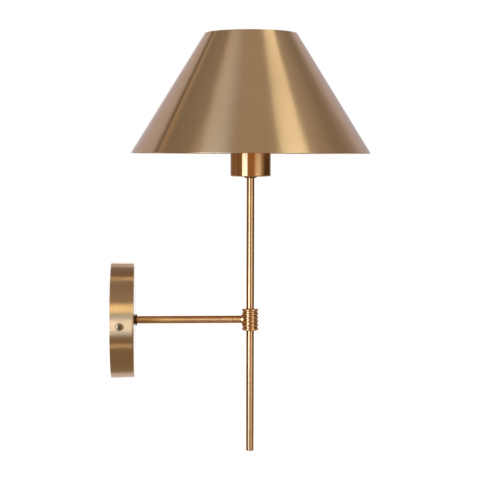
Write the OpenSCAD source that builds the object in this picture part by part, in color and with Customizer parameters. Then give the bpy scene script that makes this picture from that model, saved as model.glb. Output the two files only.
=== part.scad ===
// Wall sconce: a round backplate, an arm, a ribbed collar, a thin vertical rod and
// a cone shade on a cupped lampholder. Sizes are in millimetres. The origin is the
// centre of the wall side of the backplate, on the arm's axis. +X points out of the
// wall and +Z points up.

/* [Backplate] */
// Diameter of the backplate at the wall
plate_d = 120; // [112:1:160]
// Depth of the backplate, out from the wall
plate_depth = 24; // [23:0.5:40]
// Wall thickness of the backplate
plate_wall = 1.2; // [0.8:0.1:2]
// How much smaller the front is than the back, across the diameter
plate_draft = 1; // [0:0.1:3]
// Radius of the backplate's front edge
plate_edge_r = 1.5; // [0.5:0.1:4]
// Height of the side screws out from the wall
side_screw_x = 9.7; // [7:0.1:13]
// Thread diameter of the side screws
side_screw_d = 4; // [3:0.5:5]
// Length of the side screws under the head
side_screw_len = 8; // [6:1:12]

/* [Bracket] */
// Sheet thickness of the wall bracket
bracket_t = 1.5; // [1:0.1:2]
// Width of the bracket's crossbar
bracket_w = 24; // [18:1:30]
// Width of the folded ears
ear_w = 10; // [8:1:12]
// Height of the folded ears out from the wall
ear_h = 16; // [15:0.5:18]
// Inner radius of the folds
fold_r = 1; // [0.5:0.1:2]
// Distance between the centres of the wall screw slots
slot_spacing = 70; // [62:1:74]
// Width of the wall screw slots
slot_w = 4.5; // [3.5:0.1:5.5]
// Length of the wall screw slots from end to end
slot_len = 12; // [8:0.5:14]
// Width of the tab that carries the terminal block
tab_w = 30; // [29:1:36]
// Distance from the arm's axis down to the tab's end
tab_reach = 44; // [42:1:50]

/* [Terminal block] */
// Distance between neighbouring poles
pole_pitch = 8.5; // [8:0.1:9.5]
// Height of the terminal tubes' axis above the bracket
pole_h = 5.5; // [4:0.1:6]
// Depth of the block along its tubes
block_depth = 17; // [15:0.5:20]
// Height of the block's body above the bracket
block_h = 9; // [8.4:0.1:10]
// Height of the screw towers above the bracket
tower_h = 13.5; // [12:0.1:15]
// Outer diameter of the screw towers
tower_d = 6.8; // [6:0.1:7.6]
// Distance from the arm's axis down to the middle of the block
block_drop = 31.5; // [30:0.1:33]
// Outer diameter of the terminal tubes
terminal_tube_d = 5; // [4.4:0.1:5.6]
// Bore of the terminal tubes
terminal_bore_d = 3; // [2.8:0.1:3.4]
// Diameter of the terminal screws
terminal_screw_d = 2.9; // [2.5:0.1:3.2]
// Length of the terminal screws
terminal_screw_len = 5.5; // [4:0.1:6]
// Distance between the two screws of a pole
terminal_screw_gap = 8; // [7.6:0.1:9]
// Depth of the terminal tubes' ends inside the block
terminal_tube_recess = 1; // [0.5:0.1:2]
// Material past the outer poles at the block's ends
block_end = 0.75; // [0.4:0.05:1.5]
// Thread diameter of the screw that holds the block
block_screw_d = 3; // [2.5:0.1:3]

/* [Earth bond] */
// Distance of the earth screw from the arm's axis
earth_y = 17; // [15:0.5:19]
// Thread diameter of the earth screw
earth_screw_d = 4; // [3:0.5:4]
// Diameter of the toothed washer under the tag
earth_washer_d = 9; // [8:0.5:10]
// Thickness of the toothed washer under the tag
earth_washer_t = 1; // [0.6:0.1:1.4]
// Diameter of the tag's ring
tag_d = 8.4; // [8:0.1:9]
// Sheet thickness of the tag
tag_t = 0.8; // [0.6:0.1:1]
// Length of the tag's crimped barrel
tag_barrel_len = 5; // [4:0.5:6]
// Wall thickness of the tag's barrel
tag_barrel_wall = 0.55; // [0.4:0.05:0.8]

/* [Arm] */
// Distance of the vertical rods' axis from the wall
rod_x = 144; // [100:0.5:200]
// Outer diameter of the arm
arm_d = 8; // [7.8:0.1:10]
// Wall thickness of the arm
arm_wall = 1.2; // [0.8:0.1:1.3]
// Threaded length of the arm past its nut
arm_tail = 5; // [3:0.5:6]
// Diameter of the ring where the arm meets the backplate
ring_d = 12.2; // [11:0.1:18]
// Thickness of that ring
ring_t = 1.7; // [1:0.1:3]
// Diameter of the ring's neck
neck_d = 9.2; // [9.2:0.1:10.8]
// Length of the ring's neck
neck_len = 0.5; // [0.3:0.1:3]
// Diameter of the flat washer inside the backplate
washer_d = 22; // [18:0.5:30]
// Thickness of the flat washer
washer_t = 1.5; // [1:0.1:2]

/* [Nuts, lock washers and screws] */
// Width of the thin hexagon nuts across their flats
nut_af = 13; // [12:0.5:15]
// Thickness of the thin hexagon nuts
nut_t = 3.5; // [2.5:0.1:4]
// Diameter of the lock washers
lock_washer_d = 14; // [13:0.5:17]
// Thickness of the lock washers
lock_washer_t = 0.8; // [0.5:0.1:1.2]
// Number of teeth round a lock washer
tooth_count = 12; // [8:1:16]
// Width and depth of the cuts between the teeth
tooth_cut = 1.2; // [0.8:0.1:1.5]
// Largest radius of a pan head's edge
pan_edge_r = 1.2; // [0.6:0.1:1.4]
// Width of the slot in a slotted stud
stud_slot_w = 0.8; // [0.5:0.1:1]
// Depth of that slot
stud_slot_depth = 0.8; // [0.4:0.1:1.2]

/* [Collar] */
// Diameter of the collar over its ribs
collar_d = 17.3; // [16:0.1:26]
// Number of ribs
rib_count = 6; // [6:1:10]
// Distance from rib to rib
rib_pitch = 4; // [3.4:0.1:5]
// Radius of each rib's rounded outline
rib_r = 1.5; // [1.2:0.1:1.7]
// Depth of the grooves between the ribs
groove_depth = 1; // [0.5:0.1:1.2]
// Length of the end ribs past their centres
end_rib_len = 1.35; // [0.8:0.05:1.5]
// Depth that each rod is screwed into the collar
rod_depth = 6.6; // [5:0.1:6.8]
// Distance from the rods' axis to the arm's end in the collar
arm_stop = 4.3; // [4.2:0.1:4.6]
// Diameter of the hollow in the middle of the collar
hollow_d = 7; // [6.8:0.1:7.4]
// Length of the solder fillet along the arm
fillet_len = 1.1; // [0.5:0.1:2]
// Height of the solder fillet against the collar
fillet_h = 1; // [0.4:0.1:1.4]
// Thickness of the solder fillet's edge on the arm
fillet_edge = 0.1; // [0.05:0.05:0.3]

/* [Rods] */
// Outer diameter of both rods
rod_d = 8; // [7.8:0.1:9]
// Wall thickness of the upper rod
rod_wall = 1.2; // [0.8:0.1:1.3]
// Height of the cup's underside above the arm's axis
cup_height = 149; // [80:1:260]
// Depth of the lower rod's end below the arm's axis
rod_drop = 138.5; // [40:0.5:260]
// Chamfer at the lower rod's end
rod_chamfer = 0.3; // [0.1:0.1:1]

/* [Cup] */
// Outer diameter of the cup
cup_d = 42; // [41.8:0.1:46]
// Length of the cup
cup_len = 42; // [40:0.5:60]
// Wall thickness of the cup
cup_wall = 0.8; // [0.5:0.1:0.8]
// Thickness of the cup's floor
cup_floor = 1; // [0.8:0.1:2]
// Radius of the cup's lower edge
cup_edge_r = 1.5; // [0.5:0.1:4]
// Diameter of the ring under the cup
cup_ring_d = 13; // [11:0.1:18]
// Thickness of the ring under the cup
cup_ring_t = 1.5; // [1:0.1:3]

/* [Lampholder] */
// Gap between the cup's nut and the base
base_gap = 0.3; // [0.1:0.1:1]
// Diameter of the lampholder's base
base_d = 37.2; // [37:0.1:39]
// Height of the base up to its shoulder
base_h = 15; // [14:0.1:16]
// Thickness of the base's floor
base_floor = 3; // [2:0.1:4]
// Length of the threaded entry in the base
entry_len = 8; // [7:0.1:9]
// Outer diameter of the boss round the entry
entry_boss_d = 16; // [14:0.5:18]
// Length of the base's threaded neck
base_neck_len = 6; // [5:0.1:7]
// Outer diameter of the base's threaded neck
base_neck_d = 34.8; // [34:0.1:35.2]
// Inner diameter of the base below the ceramic
base_bore_d = 27; // [26:0.1:28]
// Diameter of the ceramic's foot
insert_d = 30.4; // [30:0.1:31]
// Diameter of the ceramic above its foot
insert_top_d = 28.4; // [28:0.1:28.6]
// Outer diameter of the skirt's thread
skirt_d = 39.8; // [39:0.1:40]
// Inner diameter of the skirt round the metal shell
skirt_bore_d = 29.2; // [28.9:0.1:30]
// Height of the skirt above the cup's rim
skirt_rise = 14; // [12:0.5:18]
// Inner diameter of the lamp cap's threaded shell
shell_bore_d = 26.5; // [26.4:0.05:26.6]
// Sheet thickness of the shell
shell_t = 0.4; // [0.3:0.05:0.6]
// Length of the shell's threaded wall
shell_thread_len = 19; // [17:0.5:20]
// Inner diameter of the shell's foot
shell_foot_d = 22; // [18:0.5:24]
// Length of the shell's foot
shell_foot_len = 3; // [2.8:0.1:4]
// Depth of the shell's top edge below the skirt's rim
shell_recess = 3; // [1:0.5:4]
// Distance of the lampholder's terminals from its axis
terminal_y = 9; // [8.8:0.1:9.2]
// Length of the lampholder's brass terminals towards their screws
holder_terminal_len = 6; // [5:0.1:6.2]
// Width of the lampholder's brass terminals
holder_terminal_w = 6; // [5:0.1:7]
// Height of the lampholder's brass terminals
holder_terminal_h = 6.8; // [6:0.1:7]
// Thickness of the terminals' closed top
holder_terminal_roof = 1; // [0.6:0.1:1.4]
// Height of the terminals above the ceramic's underside
holder_terminal_rise = 0.3; // [0.1:0.1:0.6]

/* [Sprung contact] */
// Diameter of the contact's stem
plunger_d = 5; // [4:0.1:5.4]
// Diameter of the contact's retaining flange
plunger_flange_d = 6.6; // [6.2:0.1:7]
// Thickness of that flange
plunger_flange_t = 1.2; // [0.8:0.1:1.6]
// How far the contact stands above the ceramic
plunger_rise = 2; // [1.8:0.1:2.2]
// Travel of the contact
plunger_travel = 1.8; // [1.2:0.1:1.8]
// Length of the guide bore in the ceramic
guide_len = 2.2; // [1.6:0.1:2.4]
// Wire diameter of the contact's spring
spring_wire_d = 0.5; // [0.3:0.05:0.6]
// Mean diameter of the contact's spring
spring_d = 5; // [4:0.1:5.4]
// Number of the spring's turns
spring_turns = 4; // [3:1:5]
// Thickness of the plate under the spring
contact_plate_t = 0.8; // [0.5:0.1:1]
// Height of that plate above the ceramic's underside
contact_plate_rise = 0.6; // [0.3:0.1:1]

/* [Shade] */
// Diameter of the shade at its lower edge
shade_d = 248.4; // [230:0.2:320]
// Diameter of the shade at its open top
shade_top_d = 95.4; // [80:0.2:150]
// Height of the shade
shade_h = 123.5; // [110:0.5:180]
// Sheet thickness of the shade
shade_wall = 0.9; // [0.6:0.1:1.5]
// How far the shade's lower edge hangs below the cup's rim
shade_drop = 18.2; // [8:0.1:26]
// Height of the hems folded in at both edges
hem_h = 4; // [2:0.5:10]
// Added thickness of the hems
hem_t = 0.8; // [0.5:0.1:1.5]
// Outer radius of the lower edge
edge_r = 0.45; // [0.2:0.05:0.9]
// Outer radius of the top edge
top_edge_r = 0.8; // [0.3:0.1:0.9]

/* [Shade carrier] */
// Outer diameter of the carrier ring
fitter_d = 62; // [58:0.5:70]
// Sheet thickness of the carrier ring
fitter_t = 1.2; // [1:0.1:2]
// Number of arms from the ring to the cone
spider_count = 3; // [3:1:4]
// Width of the arms
spider_w = 8; // [5:0.5:10]
// Sheet thickness of the arms
spider_t = 1.2; // [1:0.1:2]
// Length of an arm's pad under the ring
spider_foot = 8; // [4:0.5:8]
// Rise of the arms from the ring to the cone
spider_rise = 35; // [20:1:45]
// Length of an arm's pad on the cone
spider_pad = 12; // [6:0.5:16]
// Outer diameter of the threaded shade ring
shade_ring_d = 54; // [50:0.5:57]
// Thickness of the shade ring's flange
shade_ring_flange_t = 1.8; // [1:0.1:2.5]
// Height of the shade ring
shade_ring_h = 6.5; // [5:0.1:9]
// Outer diameter of the shade ring's hub
shade_ring_hub_d = 46; // [44:0.5:48]
// Number of finger grips round the hub
grip_count = 24; // [12:1:32]
// Diameter of each finger grip
grip_d = 2; // [1:0.1:2.4]

/* [Leads] */
// Diameter of an insulated lead
lead_d = 2; // [1.6:0.1:2]
// Radius of the leads' bends in the arm and collar
lead_bend_r = 4; // [3:0.1:4]
// Radius of the leads' bends in the lampholder
holder_bend_r = 2; // [1:0.1:2]
// Radius of the leads' bends above the block
block_bend_r = 3; // [1:0.1:3]
// Radius of the earth lead's bends
earth_bend_r = 2; // [1:0.1:2]
// Depth of the leads in the terminal tubes
lead_in_tube = 5; // [3:0.5:6]
// Rise of the leads above the block before they turn to the arm
block_lead_rise = 4; // [3:0.1:5]
// Rise of the leads above the rod's bush before they part
bush_lead_rise = 1.8; // [1:0.1:2]
// Depth below the ceramic at which the leads turn up again
holder_lead_drop = 1.4; // [0.8:0.1:2]
// Rise of the earth lead above the block before it turns
earth_lead_rise = 2; // [1:0.1:3]
// Drop of the earth lead below its tag
earth_lead_drop = 2.5; // [1:0.1:3]
// Depth of the earth lead in its tag
earth_in_tag = 2; // [1:0.1:3]
// Wall thickness of the liner bushes
bush_wall = 0.5; // [0.3:0.1:0.5]
// Length of the liner bushes inside the tubes
bush_len = 6; // [4:0.5:12]
// Thickness of the liner bushes' flanges
bush_flange_t = 0.8; // [0.4:0.1:1]

/* [Fits] */
// Radial clearance where a piece is screwed, brazed or pushed into another
fit = 0.05; // [0.03:0.01:0.08]
// Radial clearance of the liner bushes in the tubes
bush_fit = 0.1; // [0.05:0.01:0.2]
// Radial clearance of the shade's carrier ring on the lampholder
turn_fit = 0.09; // [0.04:0.01:0.1]
// Radial clearance of the sprung contact in its guide
plunger_fit = 0.06; // [0.03:0.01:0.1]
// Gap at each face of the carrier ring
face_gap = 0.1; // [0.05:0.05:0.3]
// Gap between the ears and the backplate
ear_gap = 0.5; // [0.3:0.1:1]
// Radial clearance of screw and tube holes in sheet
hole_gap = 0.25; // [0.1:0.05:0.4]
// Gap round the pieces that move with the sprung contact
moving_gap = 0.3; // [0.3:0.05:0.6]
// Gap between the carrier's arms and the cone
pad_fit = 0.02; // [0.01:0.01:0.1]
// Gap at screw tips, the tag's barrel and the skirt's foot
small_gap = 0.2; // [0.1:0.05:0.3]

/* [Hidden] */
$fn = 48;

polished_brass = "#c9a15e";
brushed_brass = "#b08a58";
zinc_steel = "#b9bcc0";
black_phenolic = "#26221f";
white_ceramic = "#ece8dd";
white_nylon = "#e8e6df";
bare_brass = "#c2a35a";
nickel = "#b3a894";
spring_steel = "#9e9ea0";
brown_lead = "#6b3a1e";
blue_lead = "#2f6fb3";
green_lead = "#4c9a3c";

// Overlap of cuts and of joined shapes, and the smallest inner edge radius
over = 1;
solid_edge = 0.4;
least_edge_r = 0.2;
pole_count = 3;

// Screw heads follow their threads
function head_d(d) = 1.85 * d;
function head_h(d) = 0.6 * d;

// Places along the arm, from the wall outwards
plate_r = plate_d / 2;
plate_front_r = plate_r - plate_draft / 2;
plate_inner_x = plate_depth - plate_wall;
plate_inner_edge_r = max(plate_edge_r - plate_wall, least_edge_r);
washer_x = plate_inner_x - washer_t;
arm_lock_x = washer_x - lock_washer_t;
arm_nut_x = arm_lock_x - nut_t;
arm_in_x = arm_nut_x - arm_tail;
arm_out_x = rod_x - arm_stop;
ring_x = plate_depth + neck_len;
function plate_r_at(x) = plate_r - plate_draft / 2 * x / plate_depth;

// The bracket inside the backplate
ear_y = plate_r_at(ear_h) - plate_wall - ear_gap;
bar_y = sqrt(pow(ear_y, 2) - pow(bracket_w / 2, 2)) - ear_gap;
side_seat_y = plate_r_at(side_screw_x - head_d(side_screw_d) / 2);
block_len = pole_count * pole_pitch + 2 * block_end;
block_top_z = -block_drop + block_depth / 2;
pole_x = bracket_t + pole_h;
terminal_tube_len = block_depth - 2 * terminal_tube_recess;
block_screw_len = block_h + bracket_t - small_gap;
tag_x = bracket_t + earth_washer_t;
earth_seat_x = tag_x + tag_t;
tag_barrel_r = lead_d / 2 + fit + tag_barrel_wall;
tag_barrel_x = tag_x + tag_barrel_r;
tag_barrel_top = -head_d(earth_screw_d) / 2 - small_gap;
tag_end_z = tag_barrel_top - tag_barrel_len;

// Collar
rib_z0 = -(rib_count - 1) * rib_pitch / 2;
collar_h = (rib_count - 1) * rib_pitch + 2 * end_rib_len;
collar_r = collar_d / 2;
groove_r = collar_r - groove_depth;
rod_in_z = collar_h / 2 - rod_depth;

// Levels up the rods
rod_bore_r = rod_d / 2 - rod_wall;
arm_bore_r = arm_d / 2 - arm_wall;
cup_seat_z = cup_height + cup_floor;
cup_nut_z = cup_seat_z + lock_washer_t;
base_z = cup_nut_z + nut_t + base_gap;
insert_z = base_z + base_h;
rod_top_z = base_z + entry_len;
lock_screw_rise = (base_floor + entry_len) / 2;
cup_top_z = cup_height + cup_len;
cup_bore_r = cup_d / 2 - cup_wall;
cup_inner_edge_r = max(cup_edge_r - cup_wall, least_edge_r);
skirt_top_z = cup_top_z + skirt_rise;
skirt_ledge_z = insert_z + base_neck_len + face_gap;
shell_top_z = skirt_top_z - shell_recess;
shell_step_z = shell_top_z - shell_thread_len;
insert_top_z = shell_step_z - shell_foot_len;
shell_r = shell_bore_d / 2;

// Sprung contact
plunger_top_z = insert_top_z + plunger_rise;
chamber_top_z = insert_top_z - guide_len;
flange_top_z = chamber_top_z - moving_gap;
flange_z = flange_top_z - plunger_flange_t;
contact_plate_z = insert_z + contact_plate_rise;
spring_z = contact_plate_z + contact_plate_t;
chamber_r = plunger_flange_d / 2 + moving_gap;
terminal_z = insert_z + holder_terminal_rise;
terminal_face = holder_terminal_len / 2;

// Shade and its carrier
fitter_z = cup_top_z + face_gap;
fitter_hole_r = skirt_d / 2 + turn_fit;
shade_ring_z = fitter_z + fitter_t + face_gap;
shade_z = cup_top_z - shade_drop;
shade_top_z = shade_z + shade_h;
hem_z = shade_z + hem_h;
top_hem_z = shade_top_z - hem_h;
cone_slope = (shade_d - shade_top_d) / 2 / shade_h;
cone_angle = atan(cone_slope);
cone_across = shade_wall / cos(cone_angle);
hem_across = hem_t / cos(cone_angle);
pad_gap = pad_fit + pow(spider_w / 2, 2) / shade_top_d;
spider_pad_z = fitter_z + spider_rise;
spider_pad_top_z = spider_pad_z + spider_pad * cos(cone_angle);
function cone_r(z) = shade_d / 2 - cone_slope * (z - shade_z);
function cone_inner_r(z) = cone_r(z) - cone_across;

// Leads
lead_y = lead_d / 2 + fit;
lead_end_z = terminal_z + holder_terminal_h - holder_terminal_roof;
lead_turn_z = rod_top_z + bush_flange_t + bush_lead_rise;
lead_spread_z = insert_z - holder_lead_drop;

// Shared shapes

module along_x(x = 0) {
    translate([x, 0, 0])
        rotate([0, 90, 0])
            children();
}

module on_rod(z = 0) {
    translate([rod_x, 0, z])
        children();
}

module ring(outer_r, inner_r, h) {
    difference() {
        cylinder(r = outer_r, h = h);
        translate([0, 0, -over])
            cylinder(r = inner_r, h = h + 2 * over);
    }
}

module soft_rect(r, h, edge) {
    square([r, h - edge]);
    square([r - edge, h]);
    translate([r - edge, h - edge])
        intersection() {
            circle(r = edge);
            square(edge);
        }
}

module hex_nut(hole_r) {
    difference() {
        cylinder(d = nut_af / cos(30), h = nut_t, $fn = 6);
        translate([0, 0, -over])
            cylinder(r = hole_r, h = nut_t + 2 * over);
    }
}

module toothed_washer(d, hole_r, t) {
    difference() {
        ring(d / 2, hole_r, t);
        for (i = [0 : tooth_count - 1])
            rotate([0, 0, i * 360 / tooth_count])
                translate([d / 2 - tooth_cut, -tooth_cut / 2, -over])
                    cube([tooth_cut + over, tooth_cut, t + 2 * over]);
    }
}

// Head up from z = 0, shank below it
module pan_screw(d, len, turn = 0) {
    cross_len = head_d(d) * 0.56;
    cross_w = d * 0.22;
    cross_depth = head_h(d) * 0.6;
    difference() {
        rotate_extrude()
            soft_rect(head_d(d) / 2, head_h(d), min(pan_edge_r, head_h(d) * 0.6));
        for (a = [0, 90])
            rotate([0, 0, turn + a])
                translate([-cross_len / 2, -cross_w / 2, head_h(d) - cross_depth])
                    cube([cross_len, cross_w, cross_depth + over]);
    }
    translate([0, 0, -len])
        cylinder(r = d / 2 - fit, h = len + solid_edge);
}

module slotted_stud(d, len) {
    difference() {
        cylinder(r = d / 2 - fit, h = len);
        translate([-d, -stud_slot_w / 2, len - stud_slot_depth])
            cube([2 * d, stud_slot_w, stud_slot_depth + over]);
    }
}

// A strip of constant thickness along a line of points
function left_of(v) = [-v[1], v[0]] / norm(v);
function strip_normal(p, i) =
    let (a = left_of(p[max(i, 1)] - p[max(i, 1) - 1]),
         b = left_of(p[min(i + 1, len(p) - 1)] - p[min(i, len(p) - 2)]))
    (a + b) / (1 + a * b);
function strip_outline(p, t) = concat(
    [for (i = [0 : len(p) - 1]) p[i] + strip_normal(p, i) * t / 2],
    [for (i = [len(p) - 1 : -1 : 0]) p[i] - strip_normal(p, i) * t / 2]);

// A lead: a tube swept along a route whose corners are rounded
bend_steps = 5;
lead_sides = 8;
function unit(v) = v / norm(v);
function bend(a, p, b, r) =
    let (u = unit(a - p),
         v = unit(b - p),
         half = acos(u * v) / 2,
         reach = r / tan(half),
         middle = p + unit(u + v) * r / sin(half),
         from = p + u * reach - middle,
         to = p + v * reach - middle,
         sweep = 180 - 2 * half)
    [for (k = [0 : bend_steps])
        middle + (from * sin((1 - k / bend_steps) * sweep) + to * sin(k / bend_steps * sweep))
            / sin(sweep)];
function rounded(route, radii) = [for (i = [0 : len(route) - 1])
    for (q = i == 0 || i == len(route) - 1
        ? [route[i]]
        : bend(route[i - 1], route[i], route[i + 1], radii[i - 1])) q];
function heading(p, i) = unit(
    unit(p[min(i + 1, len(p) - 1)] - p[min(i, len(p) - 2)])
    + unit(p[max(i, 1)] - p[max(i, 1) - 1]));
function lead_ring(p, t, r) =
    let (side = unit(cross(t, [0, 1, 0])), up = cross(side, t))
    [for (k = [0 : lead_sides - 1])
        p + r * (side * cos(k * 360 / lead_sides) + up * sin(k * 360 / lead_sides))];

module lead(route, radii) {
    path = rounded(route, radii);
    last = len(path) - 1;
    skin = [for (i = [0 : last]) for (q = lead_ring(path[i], heading(path, i), lead_d / 2)) q];
    sides = [for (i = [0 : last - 1])
        for (k = [0 : lead_sides - 1])
            let (a = i * lead_sides + k,
                 b = i * lead_sides + (k + 1) % lead_sides)
            for (f = [[a, b, b + lead_sides], [a, b + lead_sides, a + lead_sides]]) f];
    first_cap = [for (k = [1 : lead_sides - 2]) [0, k + 1, k]];
    top = last * lead_sides;
    last_cap = [for (k = [1 : lead_sides - 2]) [top, top + k, top + k + 1]];
    polyhedron(points = skin, faces = concat(sides, first_cap, last_cap), convexity = 6);
}

// The leads leave the block, turn into the arm, turn up in the collar and part
// again below the ceramic
module supply_lead(pole_y, side) {
    y = side * lead_y;
    lead([
        [pole_x, pole_y, block_top_z - lead_in_tube],
        [pole_x, pole_y, block_top_z + block_lead_rise],
        [pole_x, y, -2 * lead_bend_r],
        [pole_x, y, 0],
        [rod_x, y, 0],
        [rod_x, y, lead_turn_z],
        [rod_x, side * terminal_y, lead_spread_z],
        [rod_x, side * terminal_y, lead_end_z]],
        [block_bend_r, block_bend_r, lead_bend_r, lead_bend_r, holder_bend_r, holder_bend_r]);
}

// Bracket and wiring

module slot(len, w, h) {
    translate([0, -(len - w) / 2, -w / 2])
        cube([h, len - w, w]);
    for (s = [-1, 1])
        translate([0, s * (len - w) / 2, 0])
            rotate([0, 90, 0])
                cylinder(d = w, h = h);
}

module ear() {
    bend_r = fold_r + bracket_t;
    translate([bend_r, ear_y - bracket_t, -ear_w / 2])
        cube([ear_h - bend_r, bracket_t, ear_w]);
    translate([0, bar_y - over, -ear_w / 2])
        cube([bracket_t, ear_y - bend_r - bar_y + over, ear_w]);
    translate([bend_r, ear_y - bend_r, -ear_w / 2])
        linear_extrude(height = ear_w)
            difference() {
                intersection() {
                    circle(r = bend_r);
                    translate([-bend_r, 0])
                        square([bend_r, bend_r]);
                }
                circle(r = fold_r);
            }
}

module wall_bracket() {
    color(zinc_steel)
        difference() {
            union() {
                translate([0, -bar_y, -bracket_w / 2])
                    cube([bracket_t, 2 * bar_y, bracket_w]);
                translate([0, -tab_w / 2, -tab_reach])
                    cube([bracket_t, tab_w, tab_reach]);
                ear();
                mirror([0, 1, 0])
                    ear();
            }
            for (s = [-1, 1]) {
                translate([-over, s * slot_spacing / 2, 0])
                    slot(slot_len, slot_w, bracket_t + 2 * over);
                translate([side_screw_x, s * ear_y, 0])
                    rotate([90, 0, 0])
                        translate([0, 0, -2 * bracket_t])
                            cylinder(d = side_screw_d, h = 4 * bracket_t);
            }
            translate([0, earth_y, 0])
                along_x(-over)
                    cylinder(d = earth_screw_d, h = bracket_t + 2 * over);
            translate([0, pole_pitch / 2, -block_drop])
                along_x(-over)
                    cylinder(d = block_screw_d, h = bracket_t + 2 * over);
        }
}

module at_poles() {
    for (i = [0 : pole_count - 1])
        translate([0, (i - (pole_count - 1) / 2) * pole_pitch, -block_drop])
            children();
}

module at_terminal_screws() {
    at_poles()
        for (s = [-1, 1])
            translate([0, 0, s * terminal_screw_gap / 2])
                children();
}

module terminal_block() {
    color(white_nylon)
        difference() {
            union() {
                translate([bracket_t, -block_len / 2, -block_drop - block_depth / 2])
                    cube([block_h, block_len, block_depth]);
                at_terminal_screws()
                    along_x(bracket_t)
                        cylinder(d = tower_d, h = tower_h);
            }
            at_poles()
                translate([pole_x, 0, -block_depth / 2 - over])
                    cylinder(r = terminal_tube_d / 2 + fit, h = block_depth + 2 * over);
            at_terminal_screws()
                along_x(pole_x)
                    cylinder(r = terminal_screw_d / 2 + fit, h = tower_h);
            translate([0, pole_pitch / 2, -block_drop]) {
                along_x(bracket_t - over)
                    cylinder(r = block_screw_d / 2 + hole_gap, h = block_h + 2 * over);
                along_x(bracket_t + block_h)
                    cylinder(r = head_d(block_screw_d) / 2 + hole_gap, h = tower_h);
            }
        }
}

module terminal_tubes() {
    color(bare_brass)
        at_poles()
            difference() {
                translate([pole_x, 0, -terminal_tube_len / 2])
                    ring(terminal_tube_d / 2, terminal_bore_d / 2, terminal_tube_len);
                for (s = [-1, 1])
                    translate([0, 0, s * terminal_screw_gap / 2])
                        along_x(pole_x)
                            cylinder(d = terminal_screw_d, h = terminal_tube_d);
            }
}

module terminal_screws() {
    color(zinc_steel)
        at_terminal_screws()
            along_x(pole_x + lead_d / 2 + fit)
                slotted_stud(terminal_screw_d, terminal_screw_len);
}

module block_screw() {
    color(zinc_steel)
        translate([0, pole_pitch / 2, -block_drop])
            along_x(bracket_t + block_h)
                pan_screw(block_screw_d, block_screw_len, 20);
}

module earth_screw() {
    color(bare_brass)
        translate([0, earth_y, 0])
            along_x(earth_seat_x)
                pan_screw(earth_screw_d, earth_seat_x - small_gap, 10);
}

module earth_washer() {
    color(zinc_steel)
        translate([0, earth_y, 0])
            along_x(bracket_t)
                toothed_washer(earth_washer_d, earth_screw_d / 2 + hole_gap, earth_washer_t);
}

module earth_tag() {
    color(bare_brass)
        translate([0, earth_y, 0])
            difference() {
                union() {
                    along_x(tag_x)
                        cylinder(d = tag_d, h = tag_t);
                    translate([tag_barrel_x, 0, tag_end_z])
                        cylinder(r = tag_barrel_r, h = tag_barrel_len);
                }
                along_x(tag_x - over)
                    cylinder(r = earth_screw_d / 2 + hole_gap, h = tag_t + 2 * over);
                translate([tag_barrel_x, 0, tag_end_z - over])
                    cylinder(r = lead_d / 2 + fit, h = tag_barrel_len);
            }
}

module earth_lead() {
    color(green_lead)
        lead([
            [pole_x, pole_pitch, block_top_z - lead_in_tube],
            [pole_x, pole_pitch, block_top_z + earth_lead_rise],
            [tag_barrel_x, earth_y, tag_end_z - earth_lead_drop],
            [tag_barrel_x, earth_y, tag_end_z + earth_in_tag]],
            [earth_bend_r, earth_bend_r]);
}

module line_lead() {
    color(brown_lead)
        supply_lead(-pole_pitch, -1);
}

module neutral_lead() {
    color(blue_lead)
        supply_lead(0, 1);
}

// Backplate and arm

module plate_outline(r, front_r, depth, edge) {
    polygon([[0, 0], [r, 0], [front_r, depth - edge], [front_r - edge, depth], [0, depth]]);
    translate([front_r - edge, depth - edge])
        circle(r = edge);
}

module backplate() {
    color(brushed_brass)
        difference() {
            along_x()
                rotate_extrude()
                    difference() {
                        plate_outline(plate_r, plate_front_r, plate_depth, plate_edge_r);
                        plate_outline(plate_r - plate_wall, plate_front_r - plate_wall,
                            plate_inner_x, plate_inner_edge_r);
                    }
            along_x(plate_inner_x - over)
                cylinder(r = arm_d / 2 + hole_gap, h = plate_wall + 2 * over);
            for (s = [-1, 1])
                translate([side_screw_x, s * plate_r, 0])
                    rotate([90, 0, 0])
                        translate([0, 0, -2 * plate_wall])
                            cylinder(r = side_screw_d / 2 + hole_gap, h = 4 * plate_wall);
        }
}

module side_screws() {
    color(nickel)
        for (s = [-1, 1])
            translate([side_screw_x, s * side_seat_y, 0])
                rotate([-s * 90, 0, 0])
                    pan_screw(side_screw_d, side_screw_len, 33);
}

module arm_washer() {
    color(zinc_steel)
        along_x(washer_x)
            ring(washer_d / 2, arm_d / 2 + hole_gap, washer_t);
}

module arm_lock_washer() {
    color(zinc_steel)
        along_x(arm_lock_x)
            toothed_washer(lock_washer_d, arm_d / 2 + hole_gap, lock_washer_t);
}

module arm_nut() {
    color(zinc_steel)
        along_x(arm_nut_x)
            hex_nut(arm_d / 2 + fit);
}

module liner_bush(tube_d, tube_bore_r) {
    sleeve_r = tube_bore_r - bush_fit;
    difference() {
        union() {
            cylinder(r = sleeve_r, h = bush_len);
            translate([0, 0, -bush_flange_t])
                cylinder(r = tube_d / 2, h = bush_flange_t);
        }
        translate([0, 0, -bush_flange_t - over])
            cylinder(r = sleeve_r - bush_wall, h = bush_len + bush_flange_t + 2 * over);
    }
}

module arm_bush() {
    color(white_nylon)
        along_x(arm_in_x)
            liner_bush(arm_d, arm_bore_r);
}

module arm_seat_ring() {
    color(polished_brass)
        difference() {
            union() {
                along_x(plate_depth)
                    cylinder(d = neck_d, h = neck_len + ring_t / 2);
                along_x(ring_x)
                    rotate_extrude() {
                        square([ring_d / 2 - ring_t / 2, ring_t]);
                        translate([ring_d / 2 - ring_t / 2, ring_t / 2])
                            circle(d = ring_t);
                    }
            }
            along_x(plate_depth - over)
                cylinder(r = arm_d / 2 + fit, h = neck_len + ring_t + 2 * over);
        }
}

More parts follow.
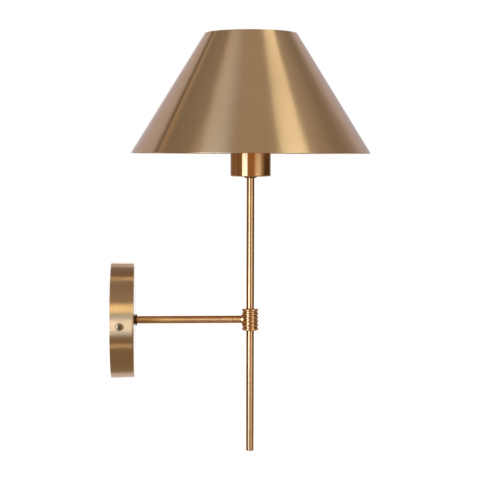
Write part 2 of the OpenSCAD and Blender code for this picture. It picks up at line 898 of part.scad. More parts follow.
module arm_tube() {
    color(polished_brass)
        along_x(arm_in_x)
            ring(arm_d / 2, arm_bore_r, arm_out_x - arm_in_x);
}

// Collar and rods

module collar() {
    arm_hole_r = arm_d / 2 + fit;
    color(polished_brass)
        difference() {
            union() {
                on_rod()
                    rotate_extrude()
                        intersection() {
                            union() {
                                translate([0, -collar_h / 2])
                                    square([groove_r, collar_h]);
                                for (i = [0 : rib_count - 1])
                                    translate([collar_r - rib_r, rib_z0 + i * rib_pitch])
                                        circle(r = rib_r);
                            }
                            translate([0, -collar_h / 2])
                                square([collar_r, collar_h]);
                        }
                along_x(rod_x - collar_r - fillet_len)
                    cylinder(r1 = arm_hole_r + fillet_edge, r2 = arm_hole_r + fillet_h,
                        h = fillet_len + groove_depth);
                along_x(rod_x - groove_r)
                    cylinder(r = arm_hole_r + fillet_h, h = groove_depth);
            }
            along_x(rod_x - collar_r - fillet_len - over)
                cylinder(r = arm_hole_r, h = collar_r + fillet_len + over - arm_stop);
            along_x(rod_x - collar_r)
                cylinder(r = arm_bore_r, h = collar_r);
            on_rod(-collar_h / 2 - over)
                cylinder(d = hollow_d, h = collar_h + 2 * over);
            for (s = [0, 1])
                mirror([0, 0, s])
                    on_rod(rod_in_z)
                        cylinder(r = rod_d / 2 + fit, h = rod_depth + over);
        }
}

module upper_rod() {
    color(polished_brass)
        on_rod(rod_in_z)
            ring(rod_d / 2, rod_bore_r, rod_top_z - rod_in_z);
}

module lower_rod() {
    color(polished_brass)
        on_rod(-rod_drop) {
            cylinder(r1 = rod_d / 2 - rod_chamfer, r2 = rod_d / 2, h = rod_chamfer);
            translate([0, 0, rod_chamfer])
                cylinder(d = rod_d, h = rod_drop - rod_in_z - rod_chamfer);
        }
}

module rod_bush() {
    color(white_nylon)
        on_rod(rod_top_z)
            mirror([0, 0, 1])
                liner_bush(rod_d, rod_bore_r);
}

// Cup and lampholder

module cup_seat_ring() {
    color(polished_brass)
        on_rod(cup_height - cup_ring_t)
            difference() {
                rotate_extrude() {
                    square([cup_ring_d / 2 - cup_ring_t / 2, cup_ring_t]);
                    translate([cup_ring_d / 2 - cup_ring_t / 2, cup_ring_t / 2])
                        circle(d = cup_ring_t);
                }
                translate([0, 0, -over])
                    cylinder(r = rod_d / 2 + fit, h = cup_ring_t + 2 * over);
            }
}

module holder_cup() {
    color(polished_brass)
        on_rod(cup_top_z)
            difference() {
                mirror([0, 0, 1])
                    rotate_extrude()
                        difference() {
                            soft_rect(cup_d / 2, cup_len, cup_edge_r);
                            soft_rect(cup_bore_r, cup_len - cup_floor, cup_inner_edge_r);
                        }
                translate([0, 0, -cup_len - over])
                    cylinder(r = rod_d / 2 + hole_gap, h = cup_floor + 2 * over);
            }
}

module cup_lock_washer() {
    color(zinc_steel)
        on_rod(cup_seat_z)
            toothed_washer(lock_washer_d, rod_d / 2 + hole_gap, lock_washer_t);
}

module cup_nut() {
    color(zinc_steel)
        on_rod(cup_nut_z)
            hex_nut(rod_d / 2 + fit);
}

module holder_base() {
    color(black_phenolic)
        on_rod(base_z)
            difference() {
                rotate_extrude() {
                    difference() {
                        union() {
                            square([base_d / 2, base_h]);
                            square([base_neck_d / 2, base_h + base_neck_len]);
                        }
                        translate([0, base_floor])
                            square([base_bore_d / 2, base_h]);
                        translate([0, base_h])
                            square([insert_d / 2 + hole_gap, base_neck_len + over]);
                    }
                    square([entry_boss_d / 2, entry_len]);
                }
                translate([0, 0, -over])
                    cylinder(r = rod_d / 2 + fit, h = entry_len + 2 * over);
                translate([0, 0, lock_screw_rise])
                    rotate([0, 90, 0])
                        cylinder(d = block_screw_d, h = entry_boss_d);
            }
}

module holder_lock_screw() {
    color(zinc_steel)
        on_rod(base_z + lock_screw_rise)
            rotate([0, 90, 0])
                translate([0, 0, rod_d / 2 + fit])
                    slotted_stud(block_screw_d, (entry_boss_d - rod_d) / 2);
}

module at_terminals() {
    for (s = [-1, 1])
        on_rod(terminal_z)
            rotate([0, 0, s * 90])
                translate([terminal_y, 0, 0])
                    children();
}

module terminal_body(grow) {
    translate([-terminal_face - grow, -holder_terminal_w / 2 - grow, -grow])
        cube([holder_terminal_len + 2 * grow, holder_terminal_w + 2 * grow,
            holder_terminal_h + 2 * grow]);
}

module holder_insert() {
    head_pocket_d = head_d(block_screw_d) + 2 * hole_gap;
    color(white_ceramic)
        difference() {
            on_rod(insert_z) {
                cylinder(d = insert_d, h = base_neck_len);
                cylinder(d = insert_top_d, h = insert_top_z - insert_z);
            }
            on_rod(insert_z - over)
                cylinder(r = chamber_r, h = chamber_top_z - insert_z + over);
            on_rod(chamber_top_z - over)
                cylinder(r = plunger_d / 2 + plunger_fit, h = guide_len + 2 * over);
            at_terminals() {
                terminal_body(fit);
                translate([0, 0, -over])
                    cylinder(r = lead_d / 2 + hole_gap, h = over + fit);
                translate([0, 0, holder_terminal_h / 2])
                    rotate([0, 90, 0])
                        cylinder(d = head_pocket_d, h = insert_d);
            }
        }
}

module holder_terminals() {
    color(bare_brass)
        at_terminals()
            difference() {
                terminal_body(0);
                translate([0, 0, -over])
                    cylinder(r = lead_d / 2 + fit,
                        h = holder_terminal_h - holder_terminal_roof + over);
                translate([0, 0, holder_terminal_h / 2])
                    rotate([0, 90, 0])
                        cylinder(d = block_screw_d, h = terminal_face + over);
            }
}

module holder_screws() {
    tip = lead_d / 2 + fit;
    color(zinc_steel)
        at_terminals()
            translate([terminal_face, 0, holder_terminal_h / 2])
                rotate([0, 90, 0])
                    pan_screw(block_screw_d, terminal_face - tip, 45);
}

module holder_shell() {
    foot_r = shell_foot_d / 2;
    color(bare_brass)
        on_rod(insert_top_z)
            rotate_extrude() {
                translate([foot_r, 0])
                    square([shell_t, shell_foot_len]);
                translate([foot_r, shell_foot_len - shell_t])
                    square([shell_r + shell_t - foot_r, shell_t]);
                translate([shell_r, shell_foot_len - shell_t])
                    square([shell_t, shell_thread_len + shell_t]);
            }
}

module holder_skirt() {
    foot_z = insert_z + small_gap;
    color(black_phenolic)
        on_rod()
            rotate_extrude()
                difference() {
                    translate([0, foot_z])
                        square([skirt_d / 2, skirt_top_z - foot_z]);
                    translate([0, foot_z - over])
                        square([base_neck_d / 2 + fit, skirt_ledge_z - foot_z + over]);
                    translate([0, foot_z])
                        square([skirt_bore_d / 2, skirt_top_z - foot_z + over]);
                }
}

// Sprung contact

module contact_plate() {
    color(bare_brass)
        on_rod(contact_plate_z)
            cylinder(r = chamber_r - fit, h = contact_plate_t);
}

module contact_spring() {
    ring_steps = 16;
    wire_sides = 6;
    wire_r = spring_wire_d / 2;
    rise = flange_z - spring_z - spring_wire_d - 2 * fit;
    steps = ring_steps * spring_turns;
    skin = [for (i = [0 : steps])
        let (a = i * 360 / ring_steps, z = spring_z + wire_r + fit + rise * i / steps)
        for (k = [0 : wire_sides - 1])
            let (b = k * 360 / wire_sides, r = spring_d / 2 + wire_r * cos(b))
            [r * cos(a), r * sin(a), z + wire_r * sin(b)]];
    sides = [for (i = [0 : steps - 1])
        for (k = [0 : wire_sides - 1])
            let (a = i * wire_sides + k, b = i * wire_sides + (k + 1) % wire_sides)
            for (f = [[a, b, b + wire_sides], [a, b + wire_sides, a + wire_sides]]) f];
    top = steps * wire_sides;
    caps = concat([for (k = [1 : wire_sides - 2]) [0, k + 1, k]],
        [for (k = [1 : wire_sides - 2]) [top, top + k, top + k + 1]]);
    color(spring_steel)
        on_rod()
            polyhedron(points = skin, faces = concat(sides, caps), convexity = 8);
}

module contact_plunger() {
    dome = plunger_d / 5;
    color(bare_brass)
        on_rod()
            rotate_extrude() {
                translate([0, flange_z])
                    square([plunger_flange_d / 2, plunger_flange_t]);
                translate([0, flange_z])
                    soft_rect(plunger_d / 2, plunger_top_z - flange_z, dome);
            }
}

// Shade and its carrier

module shade_ring() {
    inner_r = skirt_d / 2 + fit;
    color(black_phenolic)
        on_rod(shade_ring_z)
            difference() {
                union() {
                    ring(shade_ring_d / 2, inner_r, shade_ring_flange_t);
                    ring(shade_ring_hub_d / 2, inner_r, shade_ring_h);
                }
                for (i = [0 : grip_count - 1])
                    rotate([0, 0, i * 360 / grip_count])
                        translate([shade_ring_hub_d / 2 + grip_d / 4, 0, shade_ring_flange_t])
                            cylinder(d = grip_d, h = shade_ring_h);
            }
}

module fitter_ring() {
    color(zinc_steel)
        on_rod(fitter_z)
            ring(fitter_d / 2, fitter_hole_r, fitter_t);
}

module spider_arms() {
    foot_z = fitter_z - spider_t / 2;
    lean = (spider_t / 2 + pad_gap) / cos(cone_angle);
    path = [
        [fitter_d / 2 - spider_foot, foot_z],
        [fitter_d / 2 + spider_t, foot_z],
        [cone_inner_r(spider_pad_z) - lean, spider_pad_z],
        [cone_inner_r(spider_pad_top_z) - lean, spider_pad_top_z]];
    color(zinc_steel)
        on_rod()
            for (i = [0 : spider_count - 1])
                rotate([0, 0, i * 360 / spider_count])
                    translate([0, spider_w / 2, 0])
                        rotate([90, 0, 0])
                            linear_extrude(height = spider_w)
                                polygon(strip_outline(path, spider_t));
}

module shade_cone() {
    low_z = shade_z + edge_r;
    high_z = shade_top_z - top_edge_r;
    low_r = cone_r(low_z) - edge_r / cos(cone_angle);
    high_r = cone_r(high_z) - top_edge_r / cos(cone_angle);
    low_touch_z = low_z + edge_r * sin(cone_angle);
    high_touch_z = high_z + top_edge_r * sin(cone_angle);
    color(brushed_brass)
        on_rod()
            rotate_extrude() {
                polygon([
                    [low_r, shade_z],
                    [cone_r(low_touch_z), low_touch_z],
                    [cone_r(high_touch_z), high_touch_z],
                    [high_r, shade_top_z],
                    [cone_inner_r(shade_top_z) - hem_across, shade_top_z],
                    [cone_inner_r(top_hem_z) - hem_across, top_hem_z],
                    [cone_inner_r(top_hem_z), top_hem_z],
                    [cone_inner_r(hem_z), hem_z],
                    [cone_inner_r(hem_z) - hem_across, hem_z],
                    [cone_inner_r(shade_z) - hem_across, shade_z]]);
                translate([low_r, low_z])
                    circle(r = edge_r);
                translate([high_r, high_z])
                    circle(r = top_edge_r);
            }
}

wall_bracket();
terminal_block();
terminal_tubes();
terminal_screws();
block_screw();
earth_screw();
earth_washer();
earth_tag();
earth_lead();
line_lead();
neutral_lead();
backplate();
side_screws();
arm_washer();
arm_lock_washer();
arm_nut();
arm_bush();
arm_seat_ring();
arm_tube();
collar();
upper_rod();
lower_rod();
rod_bush();
cup_seat_ring();
holder_cup();
cup_lock_washer();
cup_nut();
holder_base();
holder_lock_screw();
holder_insert();
holder_terminals();
holder_screws();
holder_shell();
holder_skirt();
contact_plate();
contact_spring();
contact_plunger();
shade_ring();
fitter_ring();
spider_arms();
shade_cone();
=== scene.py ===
import math
import bmesh
import bpy
from mathutils import Matrix, Vector


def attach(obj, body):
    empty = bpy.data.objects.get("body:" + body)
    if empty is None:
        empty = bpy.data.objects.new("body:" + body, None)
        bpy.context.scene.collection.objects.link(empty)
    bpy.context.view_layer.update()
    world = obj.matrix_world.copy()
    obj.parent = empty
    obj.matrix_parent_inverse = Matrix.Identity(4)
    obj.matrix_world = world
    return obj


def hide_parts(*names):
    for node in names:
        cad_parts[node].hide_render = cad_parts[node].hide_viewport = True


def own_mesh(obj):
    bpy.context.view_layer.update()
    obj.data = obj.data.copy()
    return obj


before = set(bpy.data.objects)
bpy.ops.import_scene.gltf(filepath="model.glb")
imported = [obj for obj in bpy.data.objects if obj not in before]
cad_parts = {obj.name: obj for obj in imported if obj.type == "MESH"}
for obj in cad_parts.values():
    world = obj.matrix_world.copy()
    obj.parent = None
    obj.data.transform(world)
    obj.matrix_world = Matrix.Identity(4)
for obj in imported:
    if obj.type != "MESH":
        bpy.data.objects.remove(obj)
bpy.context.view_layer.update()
scene = bpy.context.scene
mm = 0.001
rodAxis = (0.144, 0, 0)  # the rods, cup, lampholder and shade are turned round this upright line
armAxis = (0, 0, 0)  # the backplate, its ring and the arm are turned round the x axis
maths, vectors, mapping = "ShaderNodeMath", "ShaderNodeVectorMath", "ShaderNodeMapRange"
plainWhite = (1, 1, 1, 1)
colourA, colourB, mixed = 6, 7, 2  # a Mix node's colour inputs and its colour output
print("frame loaded:", len(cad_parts), "CAD nodes")


def addNode(tree, kind, *values, **settings):
    # values fill the sockets in order, or by name from a dictionary; a node stands for its first output
    node = tree.nodes.new(kind)
    for name, value in settings.items():
        setattr(node, name, value)
    given = {}
    for place, value in enumerate(values):
        given.update(value if isinstance(value, dict) else {place: value})
    for socket, value in given.items():
        if isinstance(value, bpy.types.Node):
            value = value.outputs[0]
        if isinstance(value, bpy.types.NodeSocket):
            tree.links.new(value, node.inputs[socket])
        else:
            node.inputs[socket].default_value = value
    return node


def linearColour(hexText):
    parts = [int(hexText[i:i + 2], 16) / 255 for i in (1, 3, 5)]
    return tuple(p / 12.92 if p <= 0.04045 else ((p + 0.055) / 1.055) ** 2.4 for p in parts) + (1,)


# the camera stands a little above the arm and looks slightly down and to the right; angles in degrees
cameraSet = {"place": (0.058, -1.380, 0.1687), "yaw": 3.12, "pitch": 3.55, "roll": -0.14,
             "lens": 99.8, "sensor": 36.0}


def makeCamera(values):
    yaw, pitch, roll = (math.radians(values[k]) for k in ("yaw", "pitch", "roll"))
    ahead = Vector((math.sin(yaw) * math.cos(pitch), math.cos(yaw) * math.cos(pitch), -math.sin(pitch)))
    side = Vector((math.cos(yaw), -math.sin(yaw), 0))
    up = side.cross(ahead)
    turnedSide = side * math.cos(roll) - up * math.sin(roll)
    turnedUp = side * math.sin(roll) + up * math.cos(roll)
    data = bpy.data.cameras.new("camera")
    data.lens = values["lens"]
    data.sensor_width = values["sensor"]
    camera = bpy.data.objects.new("camera", data)
    scene.collection.objects.link(camera)
    camera.matrix_world = Matrix((
        (turnedSide.x, turnedUp.x, -ahead.x, values["place"][0]),
        (turnedSide.y, turnedUp.y, -ahead.y, values["place"][1]),
        (turnedSide.z, turnedUp.z, -ahead.z, values["place"][2]),
        (0, 0, 0, 1)))
    scene.camera = camera


makeCamera(cameraSet)
scene.view_settings.view_transform = "Standard"
print("camera made")


# white all round, a pale floor, and a room of cards that only reflections see; cardStep in degrees
studioSet = {"floorZ": -1.30, "floorSize": 12.0, "floorColour": "#efeeec", "floorLift": 0.32,
             "ambient": 0.86, "backdrop": 1.0, "cardStep": 4}

# a card is a curved panel: radius, azimuth from and to, height from and to, colour and strength.
# azimuth 0 is the camera's side of the object, growing to the camera's right. panelPlate and
# panelPlateLow stand so near the backplate that from the front only it mirrors them
cardSet = {
    "roomLeft": (2.5, (-111, -50), (-0.60, 1.9), "#fff0e2", 0.24),
    "roomFront": (2.5, (-50, 60), (-0.60, 1.9), "#fff0e2", 0.30),
    "roomRight": (2.5, (60, 124), (-0.60, 1.9), "#fff0e2", 0.29),
    "backLeft": (2.5, (-167, -111), (-0.60, 1.9), "#f7f0fc", 0.58),
    "backRight": (2.5, (124, 167), (-0.60, 1.9), "#f7f0fc", 0.58),
    "lowCardFront": (2.3, (-26, 30), (-0.55, 0.34), "#ffc890", 0.37),
    "lowCardLeft": (2.3, (-150, -60), (-0.60, 0.42), "#ffe6cc", 0.28),
    "lowCardRight": (2.3, (76, 150), (-0.60, 0.42), "#ffe6cc", 0.22),
    "panelLeftLow": (0.9, (-54, -20), (-0.35, 0.03), "#a4c6ff", 4.9),  # strips on the rods, and the next
    "panelLeftHigh": (0.9, (-50, -20), (0.03, 0.135), "#a8c8ff", 6.0),
    "panelPlate": (0.28, (-50, -38), (0.078, 0.14), "#fff2d4", 4.0),  # backplate's gold band
    "panelPlateLow": (0.28, (-50, -38), (-0.049, 0.022), "#bcd4ff", 10.0),  # backplate's cream band
    "panelLeftGap": (0.9, (-50, -23), (0.135, 0.235), "#a8c8ff", 5.0),  # white strip on the cup
    "panelLeftMiddle": (0.9, (-47, -27), (0.235, 0.46), "#f2ffff", 2.1),
    "panelLeftGlow": (0.66, (-47, -27), (-0.60, -0.51), "#fffaff", 4.8),  # faint line low on the plate
    "panelRightMiddle": (1.2, (24, 51), (0.36, 0.76), "#f4fff8", 4.6),
    "panelRight": (1.2, (30, 50), (0.128, 0.29), "#f8fdff", 0.85),
    "panelRightEdge": (1.2, (50, 64), (0.128, 0.29), "#fff4e2", 0.5),
    "panelRightLow": (1.2, (19, 60), (-0.42, 0.128), "#d8e2ff", 1.4),
    "darkStandRight": (2.2, (84, 126), (0.112, 0.42), "#ffe2c4", 0.04),
    "darkStandLow": (2.2, (76, 150), (-0.60, 0.112), "#ffe2c4", 0.04),
    "darkStandLeft": (2.2, (-150, -56), (-0.60, 0.112), "#ffe0c0", 0.13),
}

# flat panels overhead and underneath: lowest and highest corner in x and y, height, colour and strength
sheetSet = {
    "ceilingLeft": ((-2.4, -2.4), (-0.55, 0.3), 1.9, "#fff5f0", 0.34),
    "ceilingFront": ((-0.55, -2.4), (2.7, 0.3), 1.9, "#fff5f0", 0.44),
    "ceilingBack": ((-2.4, 0.3), (2.7, 2.2), 1.9, "#fff5f0", 0.28),
    "overheadRight": ((0.47, 0.16), (0.80, 0.32), 1.55, "#fffdf4", 7.5),
    "overheadLeft": ((-0.46, 0.19), (-0.15, 0.26), 1.55, "#ffeadb", 3.6),
    "groundCard": ((-2.4, -2.4), (2.7, 0.34), -0.60, "#ffebd5", 0.29),
    "groundBack": ((-2.4, 0.34), (2.7, 2.2), -0.60, "#f8eeee", 0.72),  # pale lower edge of the plate
}

# a thin bent stand at the left, with a lighter one beside it, which one line of the shade mirrors.
# shadeAngle, widths, shift and arc are in degrees
standSet = {"radius": 1.6, "centreZ": 0.22, "shadeAngle": -51.2, "width": 6.5, "glowShift": 5.8,
            "glowWidth": 5.0, "arc": (-20, 150), "steps": 28, "colour": "#ffe9d2", "strength": 0.0,
            "glow": 0.62}

# a lamp is a rectangular soft box that lights the matt parts and the floor
lampList = [
    {"name": "softBoxLeft", "azimuth": -37, "radius": 1.35, "z": 0.5, "width": 0.5, "height": 0.9,
     "glow": 1.6, "colour": "#fff8ee", "aimZ": 0.12},
    {"name": "softBoxRight", "azimuth": 38, "radius": 1.5, "z": 0.9, "width": 0.5, "height": 0.9,
     "glow": 1.6, "colour": "#fff4e2", "aimZ": 0.12},
]


def emptyMaterial(name):
    material = bpy.data.materials.new(name)
    material.use_nodes = True
    material.node_tree.nodes.clear()
    return material, material.node_tree


def emissionMaterial(name, colour, strength):
    material, tree = emptyMaterial(name)
    glow = addNode(tree, "ShaderNodeEmission", linearColour(colour), strength)
    addNode(tree, "ShaderNodeOutputMaterial", glow)
    return material


def stageMesh(name, points, faces, material):
    mesh = bpy.data.meshes.new(name)
    mesh.from_pydata(points, [], faces)
    mesh.materials.append(material)
    obj = bpy.data.objects.new(name, mesh)
    scene.collection.objects.link(obj)
    return obj


def reflectedOnly(name, points, faces, colour, strength):
    obj = stageMesh(name, points, faces, emissionMaterial(name, colour, strength))
    obj.visible_camera = False
    obj.visible_diffuse = False
    obj.visible_shadow = False
    obj.visible_transmission = False
    obj.visible_volume_scatter = False


def aroundPoint(azimuth, radius, z):
    a = math.radians(azimuth)
    return (rodAxis[0] + radius * math.sin(a), -radius * math.cos(a), z)


def makeCard(name, radius, azimuths, heights, colour, strength):
    start, end = azimuths
    steps = max(2, int((end - start) / studioSet["cardStep"]))
    points = [aroundPoint(start + (end - start) * i / steps, radius, z)
              for i in range(steps + 1) for z in heights]
    faces = [(2 * i, 2 * i + 2, 2 * i + 3, 2 * i + 1) for i in range(steps)]
    reflectedOnly(name, points, faces, colour, strength)


def makeSheetCard(name, low, high, z, colour, strength):
    (lowX, lowY), (highX, highY) = low, high
    points = [(lowX, lowY, z), (highX, lowY, z), (highX, highY, z), (lowX, highY, z)]
    reflectedOnly(name, points, [(0, 1, 2, 3)], colour, strength)


def makeStand(v):
    # directions that one straight line up the shade mirrors to the camera, across its brushed rings
    turn = math.radians(v["shadeAngle"])
    along = Vector((math.cos(turn), math.sin(turn), 0))
    outward = Vector((math.sin(turn), -math.cos(turn), 0))
    centre = Vector((rodAxis[0], 0, v["centreZ"]))
    for name, shift, width, strength in (("standDark", 0.0, v["width"], v["strength"]),
                                         ("standLight", v["glowShift"], v["glowWidth"], v["glow"])):
        points = []
        for i in range(v["steps"] + 1):
            arc = math.radians(v["arc"][0] + (v["arc"][1] - v["arc"][0]) * i / v["steps"])
            bow = outward * math.cos(arc) + Vector((0, 0, math.sin(arc)))
            for edge in (-0.5, 0.5):
                aside = along * (math.sin(turn) + math.radians(shift + edge * width))
                points.append(centre + (bow * math.cos(turn) + aside).normalized() * v["radius"])
        faces = [(2 * i, 2 * i + 1, 2 * i + 3, 2 * i + 2) for i in range(v["steps"])]
        reflectedOnly(name, points, faces, v["colour"], strength)


def makeLamp(lamp):
    data = bpy.data.lights.new(lamp["name"], "AREA")
    data.shape = "RECTANGLE"
    data.size = lamp["width"]
    data.size_y = lamp["height"]
    data.energy = lamp["glow"] * math.pi * lamp["width"] * lamp["height"]  # as bright at any size
    data.color = linearColour(lamp["colour"])[:3]
    obj = bpy.data.objects.new(lamp["name"], data)
    scene.collection.objects.link(obj)
    obj.location = aroundPoint(lamp["azimuth"], lamp["radius"], lamp["z"])
    aim = Vector((rodAxis[0], 0, lamp["aimZ"])) - obj.location
    obj.rotation_euler = aim.to_track_quat("-Z", "Y").to_euler()
    obj.visible_camera = False
    obj.visible_glossy = False


def directlySeen(tree):
    # 1 where the camera, a mirror or a pane looks at the backdrop, 0 where it lights the object
    path = addNode(tree, "ShaderNodeLightPath").outputs
    mirrored = addNode(tree, maths, path["Is Glossy Ray"], path["Is Transmission Ray"], operation="MAXIMUM")
    return addNode(tree, maths, path["Is Camera Ray"], mirrored, operation="MAXIMUM")


def makeWorld(values):
    world = bpy.data.worlds.new("world")
    scene.world = world
    world.use_nodes = True
    tree = world.node_tree
    tree.nodes.clear()
    light = addNode(tree, "ShaderNodeBackground", plainWhite, values["ambient"])
    backdrop = addNode(tree, "ShaderNodeBackground", plainWhite, values["backdrop"])
    both = addNode(tree, "ShaderNodeMixShader", directlySeen(tree), light, backdrop)
    addNode(tree, "ShaderNodeOutputWorld", both)


def makeFloor(values):
    material, tree = emptyMaterial("paleFloor")
    matt = addNode(tree, "ShaderNodeBsdfDiffuse", linearColour(values["floorColour"]))
    lifted = addNode(tree, maths, directlySeen(tree), values["floorLift"], operation="MULTIPLY")
    lift = addNode(tree, "ShaderNodeEmission", plainWhite, lifted)
    addNode(tree, "ShaderNodeOutputMaterial", addNode(tree, "ShaderNodeAddShader", matt, lift))
    s, z = values["floorSize"], values["floorZ"]
    stageMesh("floor", [(-s, -s, z), (s, -s, z), (s, s, z), (-s, s, z)], [(0, 1, 2, 3)], material)


makeWorld(studioSet)
makeFloor(studioSet)
for name, card in cardSet.items():
    makeCard(name, *card)
for name, sheet in sheetSet.items():
    makeSheetCard(name, *sheet)
makeStand(standSet)
for lamp in lampList:
    makeLamp(lamp)
print("studio made")


def newMaterial(name):
    material, tree = emptyMaterial(name)
    shader = addNode(tree, "ShaderNodeBsdfPrincipled")
    addNode(tree, "ShaderNodeOutputMaterial", shader)
    return material, tree, shader


# for each pattern of noise its detail, and the middle part of its range that is spread from 0 to 1
patternSet = {"brassCloud": (3.0, 0.3, 0.7), "cloud": (4.0, 0.3, 0.7), "grain": (2.0, 0.3, 0.8),
              "line": (4.0, 0.25, 0.75), "streak": (2.0, 0.35, 0.75), "roughness": 0.55,
              "lineRoughness": 0.6}


def noisePattern(tree, place, size, kind):
    # clouds or grain of a real size in mm
    detail, low, high = patternSet[kind]
    noise = addNode(tree, "ShaderNodeTexNoise", {"Vector": place, "Scale": 1 / (size * mm),
                                                 "Detail": detail, "Roughness": patternSet["roughness"]})
    return addNode(tree, mapping, noise, low, high, 0.0, 1.0)


# an edge is bare where a rounded normal leaves the face's own; painted shade darkens a recess where little
# light comes in
wearSet = {"faceMatch": 0.99, "edgeMatch": 0.82, "closed": 0.25, "open": 0.85, "edgeSamples": 4,
           "paintedShadeSamples": 6}


def wornAndShadedColour(tree, base, values):
    # bare along the edges, with painted shade in grooves and recesses; sizes in mm
    rounded = addNode(tree, "ShaderNodeBevel", values["edgeReach"] * mm, samples=wearSet["edgeSamples"])
    plain = addNode(tree, "ShaderNodeNewGeometry").outputs["Normal"]
    facing = addNode(tree, vectors, rounded, plain, operation="DOT_PRODUCT").outputs["Value"]
    edge = addNode(tree, mapping, facing, wearSet["faceMatch"], wearSet["edgeMatch"], 0.0, values["wear"])
    bare = linearColour(values["edgeColour"])
    edged = addNode(tree, "ShaderNodeMix", edge, {colourA: base, colourB: bare},
                    data_type="RGBA").outputs[mixed]
    # painted shade: ambient occlusion darkens grooves and recesses in the base colour
    hidden = addNode(tree, "ShaderNodeAmbientOcclusion", {"Distance": values["paintedShadeReach"] * mm},
                     samples=wearSet["paintedShadeSamples"])
    paintedShadeDepth = addNode(tree, mapping, hidden.outputs["AO"], wearSet["closed"], wearSet["open"],
                     1.0 - values["paintedShadeDepth"], 1.0)
    return addNode(tree, "ShaderNodeMix", 1.0, {colourA: edged, colourB: paintedShadeDepth}, data_type="RGBA",
                   blend_type="MULTIPLY").outputs[mixed]


def turnedMetal(name, values):
    # metal whose fine lines run round an axis: spun, turned or brushed on a lathe
    material, tree, shader = newMaterial(name)
    lying = values["axis"] == "x"
    along = Vector((1, 0, 0)) if lying else Vector((0, 0, 1))
    place = addNode(tree, "ShaderNodeTexCoord").outputs["Object"]
    local = addNode(tree, "ShaderNodeMapping", place, [-c for c in (armAxis if lying else rodAxis)])
    height = addNode(tree, vectors, local, along, operation="DOT_PRODUCT").outputs["Value"]
    across = addNode(tree, vectors, local, Vector((1, 1, 1)) - along, operation="MULTIPLY")
    radius = addNode(tree, vectors, across, operation="LENGTH").outputs["Value"]
    outward = addNode(tree, vectors, across, operation="NORMALIZE")
    # the tangent lies across the lines, so that highlights stretch that way
    lengthwise = addNode(tree, vectors, along, outward, operation="CROSS_PRODUCT")
    turned = addNode(tree, "ShaderNodeVectorTransform", lengthwise, vector_type="VECTOR",
                     convert_from="OBJECT", convert_to="WORLD")
    normal = addNode(tree, "ShaderNodeNewGeometry").outputs["Normal"]
    tangent = addNode(tree, vectors, normal, turned, operation="CROSS_PRODUCT")
    # lines change slowly round the axis and fast along the surface
    sideways = addNode(tree, maths, radius, values["runShare"], operation="MULTIPLY")
    run = addNode(tree, maths, height, sideways, operation="SUBTRACT")
    spread = addNode(tree, vectors, outward, {"Scale": values["lineStretch"]}, operation="SCALE")
    shares = {}
    for kind in ("line", "streak"):
        detail, low, high = patternSet[kind]
        step = addNode(tree, maths, run, 1 / (values[kind + "Size"] * mm), operation="MULTIPLY")
        fast = addNode(tree, vectors, along, {"Scale": step}, operation="SCALE")
        noise = addNode(tree, "ShaderNodeTexNoise", {
            "Vector": addNode(tree, vectors, spread, fast, operation="ADD"), "Scale": 1.0, "Detail": detail,
            "Roughness": patternSet["lineRoughness"]})
        shares[kind] = addNode(tree, mapping, noise, low, high, 0.0, 1.0)
    clouds = noisePattern(tree, place, values["cloudSize"], "brassCloud")
    deep = linearColour(values["deepColour"])
    light = linearColour(values["colour"])
    colour = addNode(tree, "ShaderNodeMix", clouds, {colourA: deep, colourB: light},
                     data_type="RGBA").outputs[mixed]
    for kind in ("line", "streak"):
        share = addNode(tree, maths, shares[kind], values[kind + "Colour"], operation="MULTIPLY")
        colour = addNode(tree, "ShaderNodeMix", share, {colourA: colour, colourB: deep},
                         data_type="RGBA").outputs[mixed]
    tree.links.new(wornAndShadedColour(tree, colour, values), shader.inputs["Base Color"])
    shader.inputs["Metallic"].default_value = 1.0
    shader.inputs["Anisotropic"].default_value = values["anisotropic"]
    shader.inputs["Coat Weight"].default_value = values["lacquer"]
    shader.inputs["Coat Roughness"].default_value = values["lacquerRoughness"]
    tree.links.new(tangent.outputs[0], shader.inputs["Tangent"])
    dulling = values["cloudDulling"]
    cloudy = addNode(tree, maths, clouds, dulling, values["roughness"] - dulling, operation="MULTIPLY_ADD")
    rough = addNode(tree, maths, shares["line"], values["lineDulling"], cloudy, operation="MULTIPLY_ADD")
    tree.links.new(rough.outputs[0], shader.inputs["Roughness"])
    bump = addNode(tree, "ShaderNodeBump", {"Strength": values["bump"], "Height": shares["line"],
                                            "Distance": values["lineSize"] * mm * values["lineDepth"]})
    tree.links.new(bump.outputs[0], shader.inputs["Normal"])
    return material


# what all the brass shares; sizes and reaches are in mm, lineDepth is a share of lineSize
lathedSet = {"axis": "z", "runShare": 1.3, "wear": 0.6, "paintedShadeReach": 2.0, "lacquer": 0.6,
             "cloudDulling": 0.04, "lineDulling": 0.05, "lineDepth": 0.3}
# satin brass: sheet spun on a former, brushed on the lathe, lacquered. The rings of fine lines draw each
# reflection out into a band along the cone. Lines are 0.05 mm in truth and drawn at 0.22 mm so they show
brushedSet = {**lathedSet, "colour": "#efc895", "deepColour": "#e0ba89", "edgeColour": "#f6d9ac",
              "roughness": 0.30, "anisotropic": 1.0, "lineStretch": 5.0, "lineSize": 0.22,
              "lineColour": 0.5, "streakSize": 2.2, "streakColour": 0.35, "cloudSize": 110.0,
              "edgeReach": 0.4, "paintedShadeDepth": 0.5, "bump": 0.01, "lacquerRoughness": 0.25}
# the backplate's brass is drawn and brushed round the arm; thicker lacquer lights up its glancing front
plateSet = {**brushedSet, "axis": "x", "roughness": 0.33, "lacquer": 1.0, "lacquerRoughness": 0.08,
            "colour": "#dcb27c", "deepColour": "#cfa46e"}
